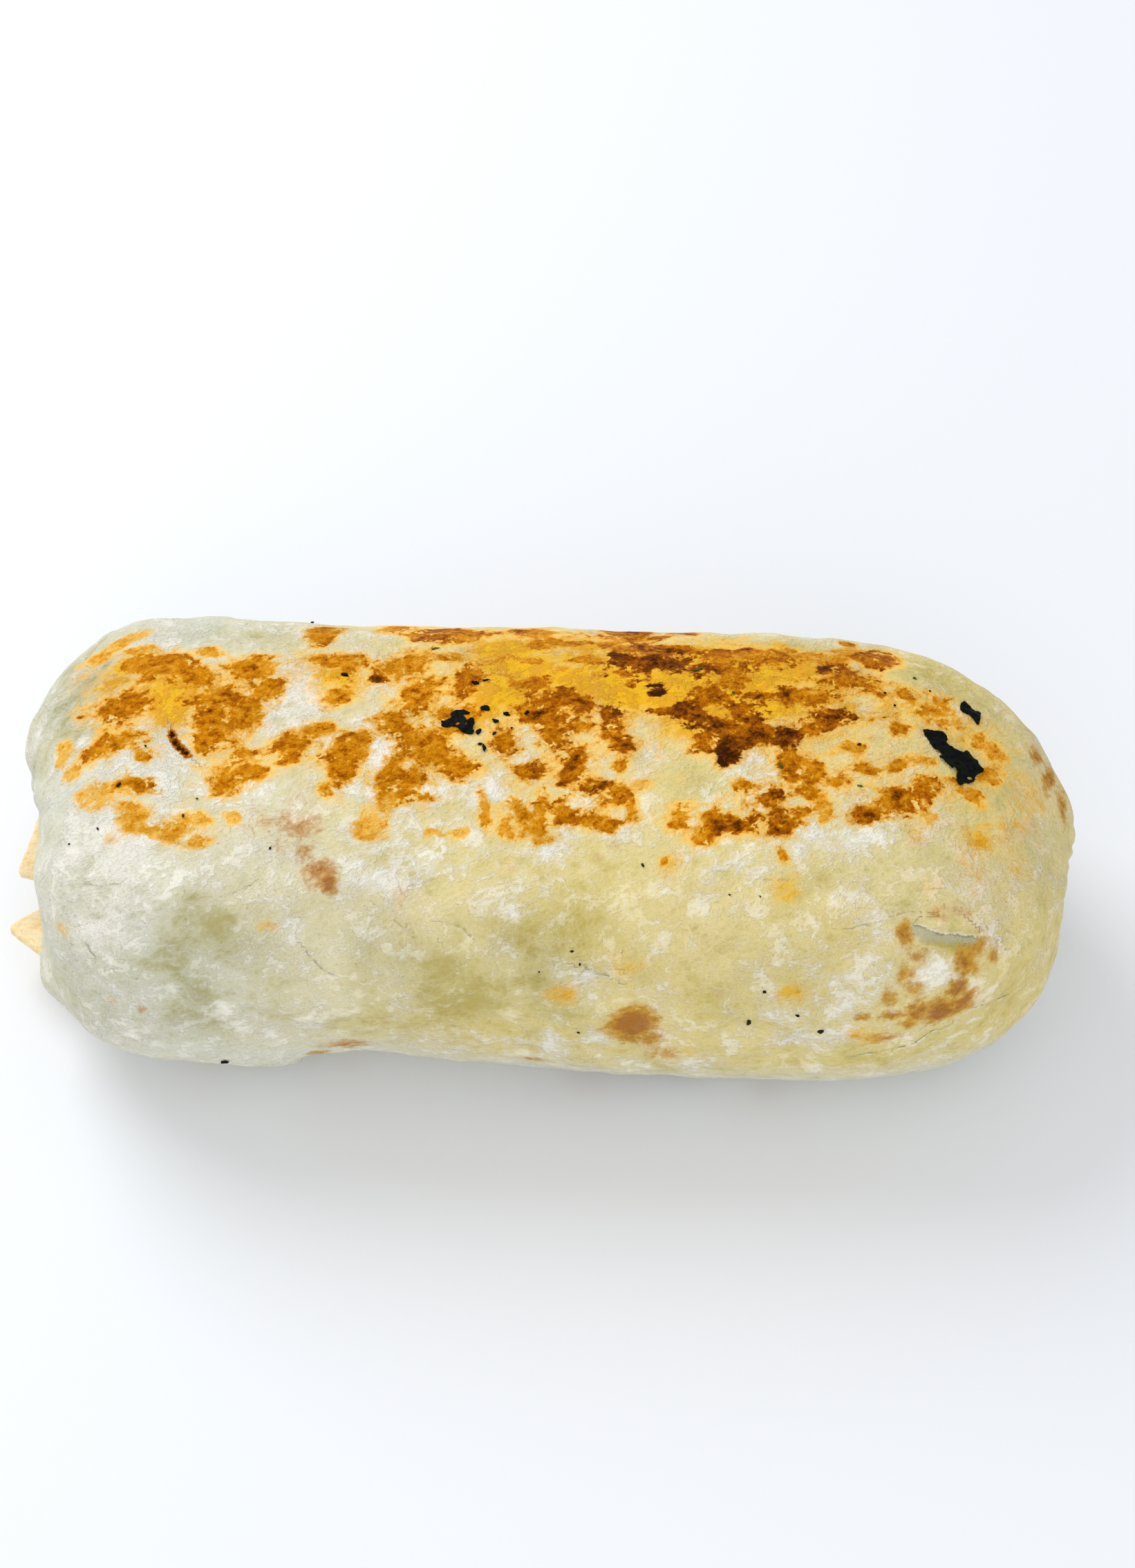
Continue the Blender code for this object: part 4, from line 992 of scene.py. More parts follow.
def square_slice(name, growth):
    """A square slice with a corner at the origin that points along -X, grown on all sides."""
    clear_selection()
    bpy.ops.mesh.primitive_cube_add(size=1.0, location=(0, 0, 0))
    piece = take_mesh(bpy.context.object, name)
    side, thick = SLICE_SIDE + 2 * growth, SLICE_THICKNESS + 2 * growth
    piece.scale = (side, side, thick)
    bpy.ops.object.transform_apply(location=False, rotation=False, scale=True)
    select_edges(piece, lambda a, b: abs(a.z - b.z) > thick / 2)
    bpy.ops.mesh.bevel(offset=SLICE_CORNER_RADIUS, segments=5, affect="EDGES")
    bpy.ops.object.mode_set(mode="OBJECT")
    select_edges(piece, lambda a, b: abs(a.z - b.z) < thick / 2)
    bpy.ops.mesh.bevel(offset=SLICE_EDGE_RADIUS, segments=3, affect="EDGES")
    bpy.ops.object.mode_set(mode="OBJECT")
    piece.rotation_euler = (0, 0, math.radians(45))
    piece.location = (SLICE_SIDE * math.sqrt(0.5), 0, 0)
    bpy.ops.object.transform_apply(location=True, rotation=True, scale=False)
    return piece


def apply_modifier(piece, kind, **options):
    take_mesh(piece, piece.name)
    added = piece.modifiers.new(kind.lower(), kind)
    for option, value in options.items():
        setattr(added, option, value)
    bpy.ops.object.modifier_apply(modifier=added.name)


def round_ball(dough):
    """A ball with a pole at each end of the roll, and how far along and round the roll its points go."""
    clear_selection()
    bpy.ops.mesh.primitive_uv_sphere_add(segments=dough.faces_round, ring_count=dough.faces_along, radius=1.0,
                                         location=(0, 0, 0), rotation=(0, math.radians(90), 0))
    roll = take_mesh(bpy.context.object, "griddled_tortilla")
    bpy.ops.object.transform_apply(location=True, rotation=True, scale=True)
    spots = read_points(roll.data)
    along = np.arccos(np.clip(-spots[:, 0], -1.0, 1.0)) / math.pi
    around = (np.arctan2(-spots[:, 1], spots[:, 2]) / (2.0 * math.pi)) % 1.0
    return roll, along, around


def shape_roll(mesh, along, around, wrinkle_depth):
    """Forms the tortilla. Gives each point's offset from a crease, its darkness, and how far the slit is."""
    smooth = roll_points(along, around)
    write_points(mesh, smooth)
    lift = swell_height(smooth) + tuck_height(smooth) + layer_height(smooth)
    points = smooth + read_normals(mesh) * lift[:, None]
    write_points(mesh, points)
    s = np.where(around > 0.5, around - 1.0, around) * FULL_GIRTH / MM
    x = smooth[:, 0] / MM
    places = np.stack((x - mark_shift(x, s), s), axis=1)
    wobble = np.stack([layered_noise(smooth, 3 * MM, 2, seed) for seed in (81, 91)], axis=1) * 0.35
    depth, offset, darkness = crease_fields(places, wobble)
    fine = fine_height(smooth, places, depth) * wrinkle_depth / MM + slot_lips(points)
    points += read_normals(mesh) * fine[:, None]
    points[:, 2] = np.maximum(points[:, 2], 0.0)
    low, high = (np.array(corner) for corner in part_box(WRAP_NODE))
    points = np.clip(points + SHIFT, low - PAST_BOX * np.array((1, 1, 0)), high + PAST_BOX)
    write_points(mesh, points)
    return offset, darkness, np.abs(offset_from_line(places + wobble, BURNT_SLIT[3:]))


def cut_slots(roll):
    """Cuts a slot round each slice, and tells which old point is nearest to each new one."""
    points = read_points(roll.data)
    tree = KDTree(len(points))
    for index, point in enumerate(points):
        tree.insert(point, index)
    tree.balance()
    for name, place in slice_places():
        cutter = square_slice(name + "_slot", GAP)
        cutter.data.transform(Matrix.Translation(Vector(SHIFT)) @ place)
        apply_modifier(roll, "BOOLEAN", operation="DIFFERENCE", solver="EXACT", object=cutter)
        bpy.data.objects.remove(cutter)
    return np.array([tree.find(point)[1] for point in read_points(roll.data)])


def write_look(mesh, crease_offset, crease_darkness, slit):
    """Writes the fields that the tortilla's material reads."""
    raw = read_points(mesh) - SHIFT
    bend = np.stack([layered_noise(raw, 5 * MM, 3, seed) for seed in (101, 111, 121)], axis=1)
    warped = raw + bend * MARK_BEND
    griddle, darkness = griddle_fields(warped)
    toast, redness = toast_fields(raw + bend * TOAST_BEND)
    pleats = corner_pleats(raw)
    # The pleats' crests are painted lighter and their troughs darker: painted light and shade on the pleats.
    floury = soft_field(warped, FLOURY_AREAS) + 0.5 * np.maximum(pleats, 0.0)
    sheer = soft_field(warped, SHEER_AREAS) + 0.5 * np.maximum(-pleats, 0.0)
    oil = soft_field(warped, OIL_STAINS)
    oil += soft_field(warped, [(x, s, r, r, k) for x, s, r, k in YELLOW_SPOTS])
    warm = smooth_step(raw[:, 0] / MM, *WARM_ALONG) + 0.25 * layered_noise(raw, 22 * MM, 2, 131)
    # Less warm low down and cooler at the base: painted shade and cool light from the floor.
    warm *= LOW_WARMTH + (1.0 - LOW_WARMTH) * smooth_step(raw[:, 2] / MM, *WARM_UP)
    warm -= BASE_PAINTED_FLOOR_LIGHT * smooth_step(-raw[:, 2] / MM, *COOL_DOWN)
    fields = {
        "griddle": griddle, "darkness": darkness, "toast": toast, "redness": redness, "sheer": sheer,
        "floury": floury, "oil": oil, "burnt": np.clip(1.0 - slit / BURNT_REACH, 0.0, 1.0),
        "warmth": np.clip(warm, 0.0, 1.0), "crease_offset": crease_offset, "crease_darkness": crease_darkness,
    }
    for name, values in fields.items():
        write_field(mesh, name, values)


class BURRITO_OT_tortilla(bpy.types.Operator):
    """Make the rolled tortilla with its folds, cracks and griddle marks"""

    bl_idname = "burrito.tortilla"
    bl_label = "Tortilla"

    def execute(self, context):
        dough = settings("burrito_dough")
        roll, along, around = round_ball(dough)
        creases = shape_roll(roll.data, along, around, dough.wrinkle_depth)
        nearest = cut_slots(roll)
        write_look(roll.data, *(values[nearest] for values in creases))
        roll.data.shade_smooth()
        roll.data.materials.clear()
        roll.data.materials.append(tortilla_material())
        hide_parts(WRAP_NODE)
        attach(roll, "root")
        return {"FINISHED"}


class BURRITO_OT_cheese(bpy.types.Operator):
    """Make the two cheese slices, a little slumped, whose corners show at the left end"""

    bl_idname = "burrito.cheese"
    bl_label = "Cheese slices"

    def execute(self, context):
        look = settings("burrito_cheese")
        material, shader = grained_material(
            "cheese", (look.shade, look.colour, look.bloom), 1.6 * MM, 0.4 * MM, 0.45, 0.10 * MM)
        soften(shader, 0.3, (1.0, 0.6, 0.25), 2.0 * MM, 0.12)
        shift = Matrix.Translation(Vector(SHIFT))
        for name, place in slice_places():
            piece = square_slice(name + "_finish", 0.0)
            apply_modifier(piece, "REMESH", mode="VOXEL", voxel_size=CHEESE_VOXEL)
            points = read_points(piece.data)
            wave = 0.12 * MM * layered_noise(points * np.array((1, 1, 0)), 3.5 * MM, 2, 7)
            nibble = 0.12 * MM * layered_noise(points, 1.4 * MM, 2, 17)
            points += read_normals(piece.data) * (nibble - 0.10 * MM)[:, None]
            points[:, 2] += wave
            write_points(piece.data, points)
            piece.data.transform(shift @ place)
            piece.data.shade_smooth()
            piece.data.materials.append(material)
            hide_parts(name)
            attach(piece, "root")
        return {"FINISHED"}


def tortilla_tree():
    roll = bpy.data.objects["griddled_tortilla"]
    graph = bpy.context.evaluated_depsgraph_get()
    return BVHTree.FromObject(roll, graph)


def seat(tree, x, s):
    """The tortilla's own point and normal at (x, s), and its direction along the roll."""
    spot, normal, length, _ = surface_frame(x, s)
    hit, _, _, _ = tree.ray_cast(spot + Vector(SHIFT) + normal * SEAT_START, -normal, SEAT_REACH)
    if hit is None:
        raise RuntimeError(f"no tortilla at x {x}, s {s}")
    return hit, normal, length


# Outlines are (along the roll, away from the near side) in mm round their own middles.
LEAF_PLACE = (72.7, -2.6)
LEAF_OUTLINE = (
    (-5.9, 5.6), (-5, 5.9), (-3.5, 5.6), (-2.3, 5.7), (-1.7, 5.2), (-1.3, 4.2), (-1.6, 3.4), (-1.2, 2.8), (0, 2.4),
    (0.9, 2.1), (1.7, 2), (2.1, 2.6), (2.6, 2.8), (3.1, 2.6), (3.7, 1.8), (4.5, 1.3), (4.8, 0.3), (5.9, -0.5),
    (5.6, -1.2), (4.8, -1.8), (4.1, -2.5), (3.9, -3.6), (3.4, -4.3), (2.5, -4.9), (1.9, -4.7), (1.5, -5.4),
    (0.9, -5.9), (0.5, -5.5), (0.2, -4.6), (0.1, -3.7), (0.3, -2.9), (0, -2.4), (-0.4, -1.8), (-0.6, -2.8),
    (-1, -2.4), (-1.9, -1.6), (-2.5, -0.9), (-3.1, -0.6), (-3.2, -0.3), (-2.5, 0), (-2.9, 0.6), (-3.7, 1.2),
    (-4.1, 1.5), (-4.6, 2.4), (-4.8, 3.2), (-5.2, 3.9), (-5.7, 4.7),
)
LEAF_HOLES = (((2.2, -3.6), (2.7, -3.2), (3.2, -3.05), (3.6, -3.2), (3.3, -3.7), (2.7, -3.95)),)
SMALL_LEAF_PLACE = (76.4, -17.4)
SMALL_LEAF_OUTLINE = (
    (-2.3, 1), (-2, 1.9), (-1.6, 2.4), (-0.8, 1.8), (0, 1.2), (0.9, 1.2), (1.6, 1.6), (2, 1.3), (2, -0.3),
    (1.9, -1.6), (1.7, -2.6), (1.2, -2.1), (0.5, -1.4), (-0.4, -0.9), (-1.5, -0.7), (-2.2, -0.2),
)
CLUSTER_PLACE = (-16.3, -4.5)
CLUSTER_OUTLINE = (
    (-3.2, 0.2), (-2.5, 0.4), (-1.6, 1), (-1.2, 1.6), (-1.6, 2), (-1.5, 2.4), (-0.6, 2.9), (0.6, 3), (1.4, 2.6),
    (2.1, 2.2), (1.7, 1.9), (1, 2), (0.7, 1.7), (1.1, 1.2), (1.4, 0.6), (1.6, 0.1), (1.9, 0.6), (2.5, 0.9),
    (2.9, 0.4), (3, -0.6), (2.8, -1.6), (3.1, -2), (2.9, -2.7), (2.2, -2.9), (1.4, -2.7), (0.7, -2.3), (0.1, -1.6),
    (-0.4, -1.1), (-1.2, -1), (-2.2, -1.3), (-3, -1),
)
CLUSTER_HOLES = (
    ((-0.6, -0.4), (-0.4, 0.1), (0.1, 0.1), (0.4, -0.2), (0.1, -0.6), (-0.3, -0.8)),
    ((1.2, -0.3), (1.4, 0.0), (1.6, -0.4), (1.6, -0.9), (1.3, -0.9)),
)
LEAF_VOXEL = 0.13 * MM
SEAT_START, SEAT_REACH, DRAPE_START, DRAPE_REACH = 8 * MM, 20 * MM, 6 * MM, 14 * MM
RIM_STEP, RIM_ROUGHNESS = 0.25, 0.06  # mm, of an outline that is drawn
FLAKE_STEP, FLAKE_ROUGHNESS, FLAKE_CORNERS = 0.35, 0.10, 11


def ragged_outline(outline, step, roughness, seed):
    """The outline with points every step mm, pushed in and out."""
    dice = np.random.default_rng(seed)
    rows = []
    points = [np.array(p, dtype=float) for p in outline]
    for start, end in zip(points, points[1:] + points[:1]):
        run = end - start
        length = max(np.linalg.norm(run), 1e-6)
        count = max(1, round(length / step))
        side = np.array((run[1], -run[0])) / length
        for index in range(count):
            bite = dice.uniform(-1, 1) * roughness
            rows.append(start + run * index / count + side * bite)
    return rows


def flake_piece(name, loops, thickness, crinkle, seed):
    """A crinkled flake, flat at the origin, from loops of (x, y) in mm: its rim, then any holes."""
    clear_selection()
    bpy.ops.mesh.primitive_circle_add(vertices=len(loops[0]), radius=MM, fill_type="NOTHING")
    piece = take_mesh(bpy.context.object, name)
    bpy.ops.object.mode_set(mode="EDIT")
    for loop in loops[1:]:
        bpy.ops.mesh.primitive_circle_add(vertices=len(loop), radius=MM, fill_type="NOTHING")
    bpy.ops.object.mode_set(mode="OBJECT")
    outline = np.concatenate([np.array(loop) for loop in loops])
    write_points(piece.data, np.column_stack((outline, np.zeros(len(outline)))) * MM)
    bpy.ops.object.mode_set(mode="EDIT")
    bpy.ops.mesh.select_all(action="SELECT")
    bpy.ops.mesh.fill(use_beauty=True)
    bpy.ops.mesh.select_all(action="SELECT")
    bpy.ops.mesh.extrude_region_move(TRANSFORM_OT_translate={"value": (0, 0, thickness)})
    bpy.ops.mesh.select_all(action="SELECT")
    bpy.ops.mesh.normals_make_consistent(inside=False)
    bpy.ops.object.mode_set(mode="OBJECT")
    apply_modifier(piece, "REMESH", mode="VOXEL", voxel_size=LEAF_VOXEL)
    points = read_points(piece.data)
    flat = points * np.array((1, 1, 0))
    points += read_normals(piece.data) * (0.05 * MM * layered_noise(points, 0.5 * MM, 2, seed + 2))[:, None]
    points[:, 2] += crinkle * MM * (0.6 * lattice_noise(flat, 2.2 * MM, seed) +
                                    0.5 * lattice_noise(flat, 0.8 * MM, seed + 1) + 0.5)
    write_points(piece.data, points)
    return piece


def drape(piece, tree, x, s, turn=0.0):
    """Lays a flat piece on the tortilla at (x, s), following it."""
    hit, normal, length = seat(tree, x, s)
    across = normal.cross(length).normalized()
    points = read_points(piece.data)
    cos, sin = math.cos(math.radians(turn)), math.sin(math.radians(turn))
    laid = []
    for px, py, pz in points:
        flat = hit + length * (px * cos - py * sin) + across * (px * sin + py * cos)
        found, _, _, _ = tree.ray_cast(flat + normal * DRAPE_START, -normal, DRAPE_REACH)
        base = found if found is not None else flat
        laid.append(base + normal * pz)
    write_points(piece.data, np.array(laid))


class BURRITO_OT_leaf(bpy.types.Operator):
    """Make the large charred leaf"""

    bl_idname = "burrito.leaf"
    bl_label = "Charred leaf"

    def execute(self, context):
        look = settings("burrito_leaf")
        rim = ragged_outline(LEAF_OUTLINE, RIM_STEP, 0.07, 3)
        leaf = flake_piece("charred_leaf_finish", [rim, *LEAF_HOLES], look.thickness, look.crinkle / MM, 12)
        drape(leaf, tortilla_tree(), *LEAF_PLACE)
        leaf.data.shade_smooth()
        leaf.data.materials.append(char_material())
        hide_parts(LEAF_NODE)
        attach(leaf, "root")
        return {"FINISHED"}


def char_material():
    found = bpy.data.materials.get("charred_greens")
    if found:
        return found
    look = settings("burrito_leaf")
    return grained_material("charred_greens", (look.black, look.green, look.ash), 0.9 * MM, 0.25 * MM, 0.55,
                            0.12 * MM, specular=0.06)[0]


# Charred flakes: x, s, half length, half width, turn in degrees.
FLAKES = (
    (-12.5, -2.3, 0.75, 0.55, 35), (-11.5, -7.8, 1.05, 0.75, 0), (-13.8, -13.8, 0.85, 0.55, 0),
    (-11.8, -14.6, 0.8, 0.22, 15), (-9.5, -4.9, 0.75, 0.45, -10), (-7.6, -6.7, 0.75, 0.4, -15),
    (-3.9, -7.1, 0.75, 0.4, 45), (-9.6, -1.9, 0.55, 0.3, 45), (-6.5, -3.4, 0.3, 0.2, 30),
    (-11.2, 1.6, 0.4, 1.2, 10), (-12, 0.5, 0.5, 0.3, 0), (-38.2, -15.4, 0.8, 0.4, -10), (-61, 75.5, 1, 0.5, 5),
    (62.2, -13.4, 0.3, 0.25, 0), (60.6, -16.5, 0.35, 0.25, 0), (-72.6, 3.2, 0.35, 0.2, -40),
)
# Green herb bits, the same.
HERBS = (
    (26.6, -19.8, 1.1, 0.42, 20), (41.6, 3.2, 0.4, 0.9, 20), (55.4, 6.8, 0.6, 0.3, 0), (-22, -24.2, 0.9, 0.3, 15),
    (33.2, -14, 0.4, 0.4, 0), (66.4, -23, 0.5, 0.4, 0), (-62.4, 14.6, 0.4, 0.3, 0), (53.2, -11.4, 0.25, 0.2, 0),
)
# Pepper specks: x, s, half size.
PEPPER = (
    (38, 48, 0.38), (35.6, 56, 0.62), (44.2, 53, 0.36), (48.7, 57, 0.58), (15.8, 25.4, 0.36), (3.3, 41, 0.3),
    (4.7, 43.5, 0.28), (4.7, 61, 0.34), (-76.5, 12.6, 0.5), (-80.6, 22, 0.28), (-86.4, 25.5, 0.28),
    (-65, 18.6, 0.3), (31, 30, 0.24), (-50, 24.4, 0.26), (69, -20, 0.26), (-47, -40, 0.34), (12, -48, 0.36),
    (40, -62, 0.5), (-20, -66, 0.3), (60, -50, 0.4), (-70, -58, 0.4), (36.5, 30, 0.2), (55.6, -3, 0.34),
    (-2.5, 45, 0.2),
)
PEPPER_SHAPE, PEPPER_TURN = (1.25, 0.75, 0.6), 1.3


def join_pieces(pieces, name):
    clear_selection()
    for piece in pieces:
        piece.select_set(True)
    bpy.context.view_layer.objects.active = pieces[0]
    bpy.ops.object.join()
    return take_mesh(bpy.context.object, name)


def flake_outline(half_along, half_round, seed):
    dice = np.random.default_rng(seed)
    rows = []
    for index in range(FLAKE_CORNERS):
        angle = 2 * math.pi * (index + dice.uniform(-0.3, 0.3)) / FLAKE_CORNERS
        reach = dice.uniform(0.62, 1.12)
        rows.append((half_along * reach * math.cos(angle), half_round * reach * math.sin(angle)))
    return rows


def scatter_flakes(name, flakes, thickness, crinkle, material, shaped=()):
    """One joined piece: flakes of drawn-up outline, and shaped ones of (place, outline, holes)."""
    tree = tortilla_tree()
    pieces = []
    for index, (x, s, half_along, half_round, turn) in enumerate(flakes):
        rim = ragged_outline(flake_outline(half_along, half_round, 50 + index), FLAKE_STEP,
                             FLAKE_ROUGHNESS * min(1.0, half_along), 70 + index)
        piece = flake_piece(f"{name}_{index}", [rim], thickness * MM, crinkle, 90 + index)
        drape(piece, tree, x, s, turn)
        pieces.append(piece)
    for index, (place, outline, holes) in enumerate(shaped):
        rim = ragged_outline(outline, RIM_STEP, RIM_ROUGHNESS, 30 + index)
        piece = flake_piece(f"{name}_shaped_{index}", [rim, *holes], thickness * MM, crinkle * 1.5, 40 + index)
        drape(piece, tree, *place)
        pieces.append(piece)
    joined = join_pieces(pieces, name)
    joined.data.shade_smooth()
    joined.data.materials.append(material)
    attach(joined, "root")
    return joined


class BURRITO_OT_flakes(bpy.types.Operator):
    """Scatter the small charred flakes"""

    bl_idname = "burrito.flakes"
    bl_label = "Charred flakes"

    def execute(self, context):
        shaped = ((SMALL_LEAF_PLACE, SMALL_LEAF_OUTLINE, ()), (CLUSTER_PLACE, CLUSTER_OUTLINE, CLUSTER_HOLES))
        flakes = scatter_flakes("charred_flakes", FLAKES, 0.28, 0.16, char_material(), shaped)
        return {"FINISHED"}


class BURRITO_OT_herbs(bpy.types.Operator):
    """Scatter the green herb bits"""

    bl_idname = "burrito.herbs"
    bl_label = "Herb bits"

    def execute(self, context):
        look = settings("burrito_bits")
        material = grained_material("herb_green", (look.herb_dark, look.herb, look.herb_light), 0.6 * MM,
                                    0.2 * MM, 0.5, 0.08 * MM)[0]
        herbs = scatter_flakes("herb_bits", HERBS, 0.18, 0.10, material)
        return {"FINISHED"}


class BURRITO_OT_pepper(bpy.types.Operator):
    """Scatter the specks of cracked pepper"""

    bl_idname = "burrito.pepper"
    bl_label = "Pepper"

    def execute(self, context):
        look = settings("burrito_bits")
        tree = tortilla_tree()
        pieces = []
        for index, (x, s, half) in enumerate(PEPPER):
            clear_selection()
            bpy.ops.mesh.primitive_ico_sphere_add(subdivisions=3, radius=half * MM * 0.85, location=(0, 0, 0))
            speck = take_mesh(bpy.context.object, f"pepper_{index}")
            points = read_points(speck.data)
            points *= (1.0 + 0.5 * lattice_noise(points + index, 0.45 * MM, 5))[:, None]
            points *= np.array(PEPPER_SHAPE)
            hit, normal, length = seat(tree, x, s)
            across = normal.cross(length)
            spin = index * PEPPER_TURN
            first = length * math.cos(spin) + across * math.sin(spin)
            second = normal.cross(first)
            basis = np.array((first, second, normal))
            write_points(speck.data, points @ basis + np.array(hit + normal * 0.35 * half * MM))
            pieces.append(speck)
        joined = join_pieces(pieces, "pepper_specks")
        joined.data.shade_smooth()
        joined.data.materials.append(grained_material(
            "cracked_pepper", (look.pepper_black, look.pepper, look.pepper_light), 0.5 * MM, 0.15 * MM, 0.6,
            0.06 * MM)[0])
        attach(joined, "root")
        return {"FINISHED"}


FLOOR_SIZE, SENSOR = 6.0, 36.0
LIGHTS = (  # name, place, size, colour
    ("window", (-0.55, 0.55, 0.75), 0.7, (0.97, 0.98, 1.0)),
    ("fill", (0.1, -0.9, 0.55), 0.9, (1.0, 1.0, 1.0)),
)


class BURRITO_OT_stage(bpy.types.Operator):
    """Set up the pale floor, the soft lights and the camera"""

    bl_idname = "burrito.stage"
    bl_label = "Stage"

    def execute(self, context):
        stage = settings("burrito_stage")
        scene = context.scene
        clear_selection()
        bpy.ops.mesh.primitive_plane_add(size=FLOOR_SIZE, location=(0, 0, 0))
        floor = take_mesh(bpy.context.object, "floor")
        material, _, shader = new_material("pale_floor")
        shader.inputs["Base Color"].default_value = (*stage.floor_colour, 1.0)
        shader.inputs["Roughness"].default_value = 0.5
        floor.data.materials.append(material)

        world = scene.world or bpy.data.worlds.new("soft_room")
        scene.world = world
        world.use_nodes = True
        back = world.node_tree.nodes.get("Background") or world.node_tree.nodes.new("ShaderNodeBackground")
        back.inputs["Color"].default_value = (*stage.room_colour, 1.0)
        back.inputs["Strength"].default_value = stage.room_strength
        for name, place, size, colour in LIGHTS:
            clear_selection()
            bpy.ops.object.light_add(type="AREA", location=place)
            light = bpy.context.object
            light.name = name
            light.data.shape = "DISK"
            light.data.size = size
            light.data.energy = getattr(stage, name + "_power")
            light.data.color = colour
            light.rotation_euler = (-Vector(place)).to_track_quat("-Z", "Y").to_euler()

        rise, swing = stage.camera_rise, stage.camera_swing
        back_way = Vector((math.sin(swing) * math.cos(rise), -math.cos(swing) * math.cos(rise), math.sin(rise)))
        clear_selection()
        bpy.ops.object.camera_add(location=Vector(stage.camera_aim) + back_way * stage.camera_distance)
        camera = bpy.context.object
        camera.name = "camera"
        camera.rotation_euler = (-back_way).to_track_quat("-Z", "Y").to_euler()
        camera.data.sensor_fit = "VERTICAL"
        camera.data.sensor_height = camera.data.sensor_width = SENSOR
        camera.data.lens = stage.camera_lens
        camera.data.dof.use_dof = False
        scene.camera = camera
        scene.view_settings.view_transform = "Standard"
        scene.view_settings.look = "None"
        return {"FINISHED"}


# ---------------------------------------------------------------- settings


def colour_setting(name, description, screen):
    return bpy.props.FloatVectorProperty(name=name, description=description, subtype="COLOR", size=3,
                                         min=0.0, max=1.0, default=from_screen(*screen))


def number_setting(name, description, default, **options):
    return bpy.props.FloatProperty(name=name, description=description, default=default, **options)


def length_setting(name, description, default, low=0.0):
    return number_setting(name, description, default, min=low, unit="LENGTH", precision=5)


class DoughSettings(bpy.types.PropertyGroup):
    faces_round: bpy.props.IntProperty(name="Faces round", description="Round the roll", default=320, min=24)
    faces_along: bpy.props.IntProperty(name="Faces along", description="From end to end", default=300, min=24)
    wrinkle_depth: length_setting("Wrinkle depth", "How deep wrinkles and cracks are", MM)
    white: colour_setting("White", "Dry flaky dough", (249, 244, 228))
    # The cool colours also paint the shade and cool floor light low down and at the base.
    cream_cool: colour_setting("Cool cream", "Dough at the left end", (231, 229, 211))
    cream_warm: colour_setting("Warm cream", "Dough at the right end", (240, 221, 160))
    sheer_cool: colour_setting("Cool sheer", "Sheer dough at the left end", (200, 197, 165))
    sheer_warm: colour_setting("Warm sheer", "Sheer dough at the right end", (206, 189, 114))
    deep_cool: colour_setting("Cool deep", "The sheerest dough at the left end", (176, 168, 120))
    deep_warm: colour_setting("Warm deep", "The sheerest dough at the right end", (192, 172, 94))
    # The crack colour is painted shade inside the cracks.
    crack: colour_setting("Crack", "The shade inside a crack", (150, 138, 92))
    # The hollow colour is the recess under the torn flap, darkened with painted shade.
    hollow: colour_setting("Hollow", "Under the torn flap", (186, 184, 154))


class GriddleSettings(bpy.types.PropertyGroup):
    glow: colour_setting("Glow", "Dough tinted by the heat between the marks", (252, 208, 114))
    halo: colour_setting("Halo", "Orange round a mark", (252, 196, 88))
    pale: colour_setting("Pale", "The lightest marks", (240, 170, 52))
    golden: colour_setting("Golden", "Golden marks", (222, 142, 10))
    brown: colour_setting("Brown", "Brown marks", (184, 102, 3))
    dark: colour_setting("Dark", "Dark marks", (112, 54, 1))
    burnt: colour_setting("Burnt", "Burnt spots", (62, 28, 3))
    oil: colour_setting("Oil", "Yellow oil in the dough", (243, 184, 8))
    toast_golden: colour_setting("Golden toast", "Soft toasted blisters", (204, 150, 44))
    toast_red: colour_setting("Red toast", "Soft reddish blisters", (206, 162, 118))
    toast_crisp: colour_setting("Crisp toast", "The middle of a toasted blister", (170, 104, 24))


class CheeseSettings(bpy.types.PropertyGroup):
    colour: colour_setting("Colour", "Cheese", (240, 222, 180))
    shade: colour_setting("Shade", "Its darker parts", (234, 202, 138))
    bloom: colour_setting("Bloom", "Its paler parts", (244, 229, 188))


class LeafSettings(bpy.types.PropertyGroup):
    thickness: length_setting("Thickness", "Thickness of the charred leaf", 0.3 * MM, 0.05 * MM)
    crinkle: length_setting("Crinkle", "How far the leaf rises and falls", 0.35 * MM)
    black: colour_setting("Black", "Charred", (3, 4, 3))
    green: colour_setting("Green", "Charred, with some green left", (7, 14, 9))
    ash: colour_setting("Ash", "Its highest parts", (22, 30, 22))


class BitsSettings(bpy.types.PropertyGroup):
    herb: colour_setting("Herb", "Herb bits", (70, 92, 30))
    herb_dark: colour_setting("Dark herb", "Their darker parts", (34, 52, 18))
    herb_light: colour_setting("Light herb", "Their paler parts", (120, 134, 60))
    pepper: colour_setting("Pepper", "Cracked pepper", (40, 32, 22))
    pepper_black: colour_setting("Black pepper", "Its darker parts", (16, 13, 10))
    pepper_light: colour_setting("Light pepper", "Its paler parts", (92, 76, 50))


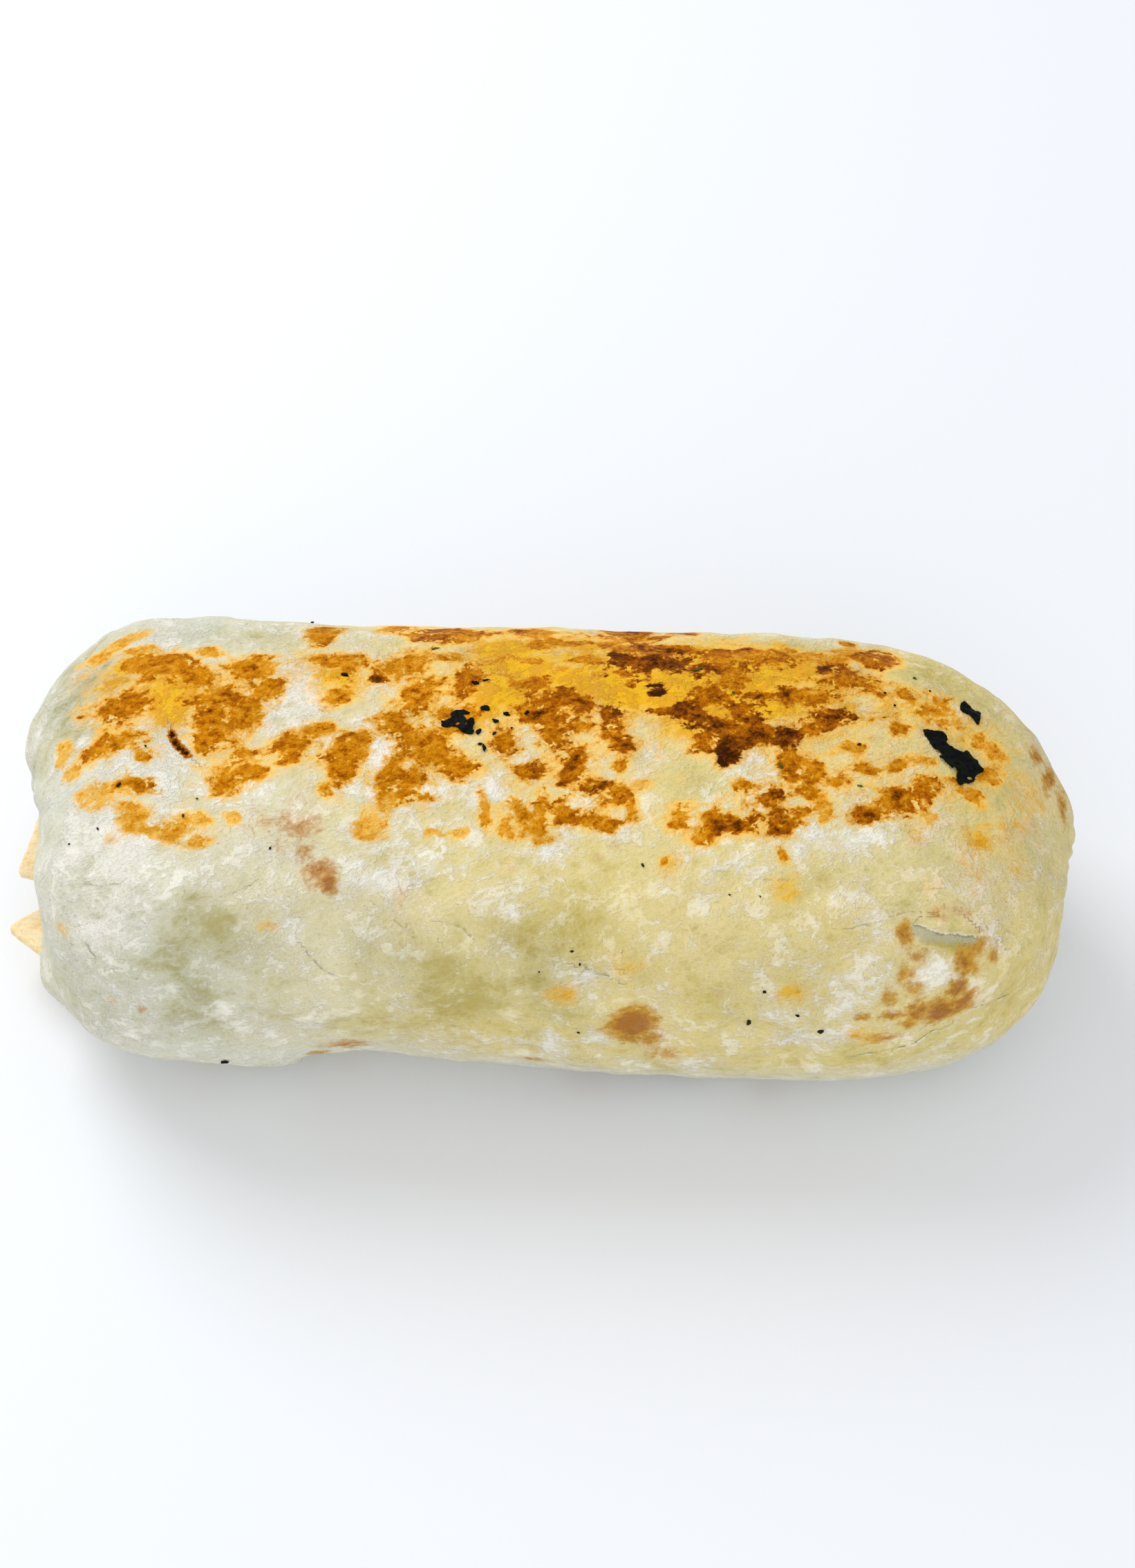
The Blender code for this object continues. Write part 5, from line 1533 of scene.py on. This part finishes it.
class StageSettings(bpy.types.PropertyGroup):
    floor_colour: colour_setting("Floor", "The pale floor", (237, 238, 240))
    room_colour: colour_setting("Room", "Light from all round", (247, 250, 255))
    room_strength: number_setting("Room light", "Strength of the light all round", 0.755, min=0.0)
    window_power: number_setting("Window", "Power of the window light", 5.6, min=0.0, subtype="POWER", unit="POWER")
    fill_power: number_setting("Fill", "Power of the fill light", 2.8, min=0.0, subtype="POWER", unit="POWER")
    camera_rise: number_setting("Camera height", "Angle above the table", math.radians(52), subtype="ANGLE")
    camera_swing: number_setting("Camera swing", "Angle towards the right end", math.radians(2.4), subtype="ANGLE")
    camera_distance: number_setting("Camera distance", "From what it looks at", 0.52, unit="LENGTH")
    camera_aim: bpy.props.FloatVectorProperty(name="Camera aim", description="What the camera looks at",
                                              default=(0.0058, 0.0140, 0.0290), size=3, subtype="TRANSLATION",
                                              unit="LENGTH")
    camera_lens: number_setting("Lens", "Focal length in millimetres", 61.9)


class BURRITO_PT_panel(bpy.types.Panel):
    """The burrito's pieces and stage"""

    bl_idname = "BURRITO_PT_panel"
    bl_label = "Griddled burrito"
    bl_space_type = "VIEW_3D"
    bl_region_type = "UI"
    bl_category = "Burrito"

    def draw(self, context):
        for operator in PIECES + (BURRITO_OT_stage,):
            self.layout.operator(operator.bl_idname, text=operator.bl_label)
        for name in SETTINGS:
            group = getattr(context.scene, name)
            box = self.layout.box()
            for key in group.bl_rna.properties.keys():
                if key not in ("rna_type", "name"):
                    box.prop(group, key)


PIECES = (BURRITO_OT_tortilla, BURRITO_OT_cheese, BURRITO_OT_leaf, BURRITO_OT_flakes, BURRITO_OT_herbs,
          BURRITO_OT_pepper)
SETTINGS = {
    "burrito_dough": DoughSettings,
    "burrito_griddle": GriddleSettings,
    "burrito_cheese": CheeseSettings,
    "burrito_leaf": LeafSettings,
    "burrito_bits": BitsSettings,
    "burrito_stage": StageSettings,
}


def register():
    for name, group in SETTINGS.items():
        bpy.utils.register_class(group)
        setattr(bpy.types.Scene, name, bpy.props.PointerProperty(type=group))
    for item in PIECES + (BURRITO_OT_stage, BURRITO_PT_panel):
        bpy.utils.register_class(item)


def unregister():
    for item in reversed(PIECES + (BURRITO_OT_stage, BURRITO_PT_panel)):
        bpy.utils.unregister_class(item)
    for name, group in SETTINGS.items():
        delattr(bpy.types.Scene, name)
        bpy.utils.unregister_class(group)


def main():
    register()
    bpy.ops.burrito.tortilla()
    bpy.ops.burrito.cheese()
    bpy.ops.burrito.leaf()
    bpy.ops.burrito.flakes()
    bpy.ops.burrito.herbs()
    bpy.ops.burrito.pepper()
    bpy.ops.burrito.stage()


if __name__ == "__main__":
    main()
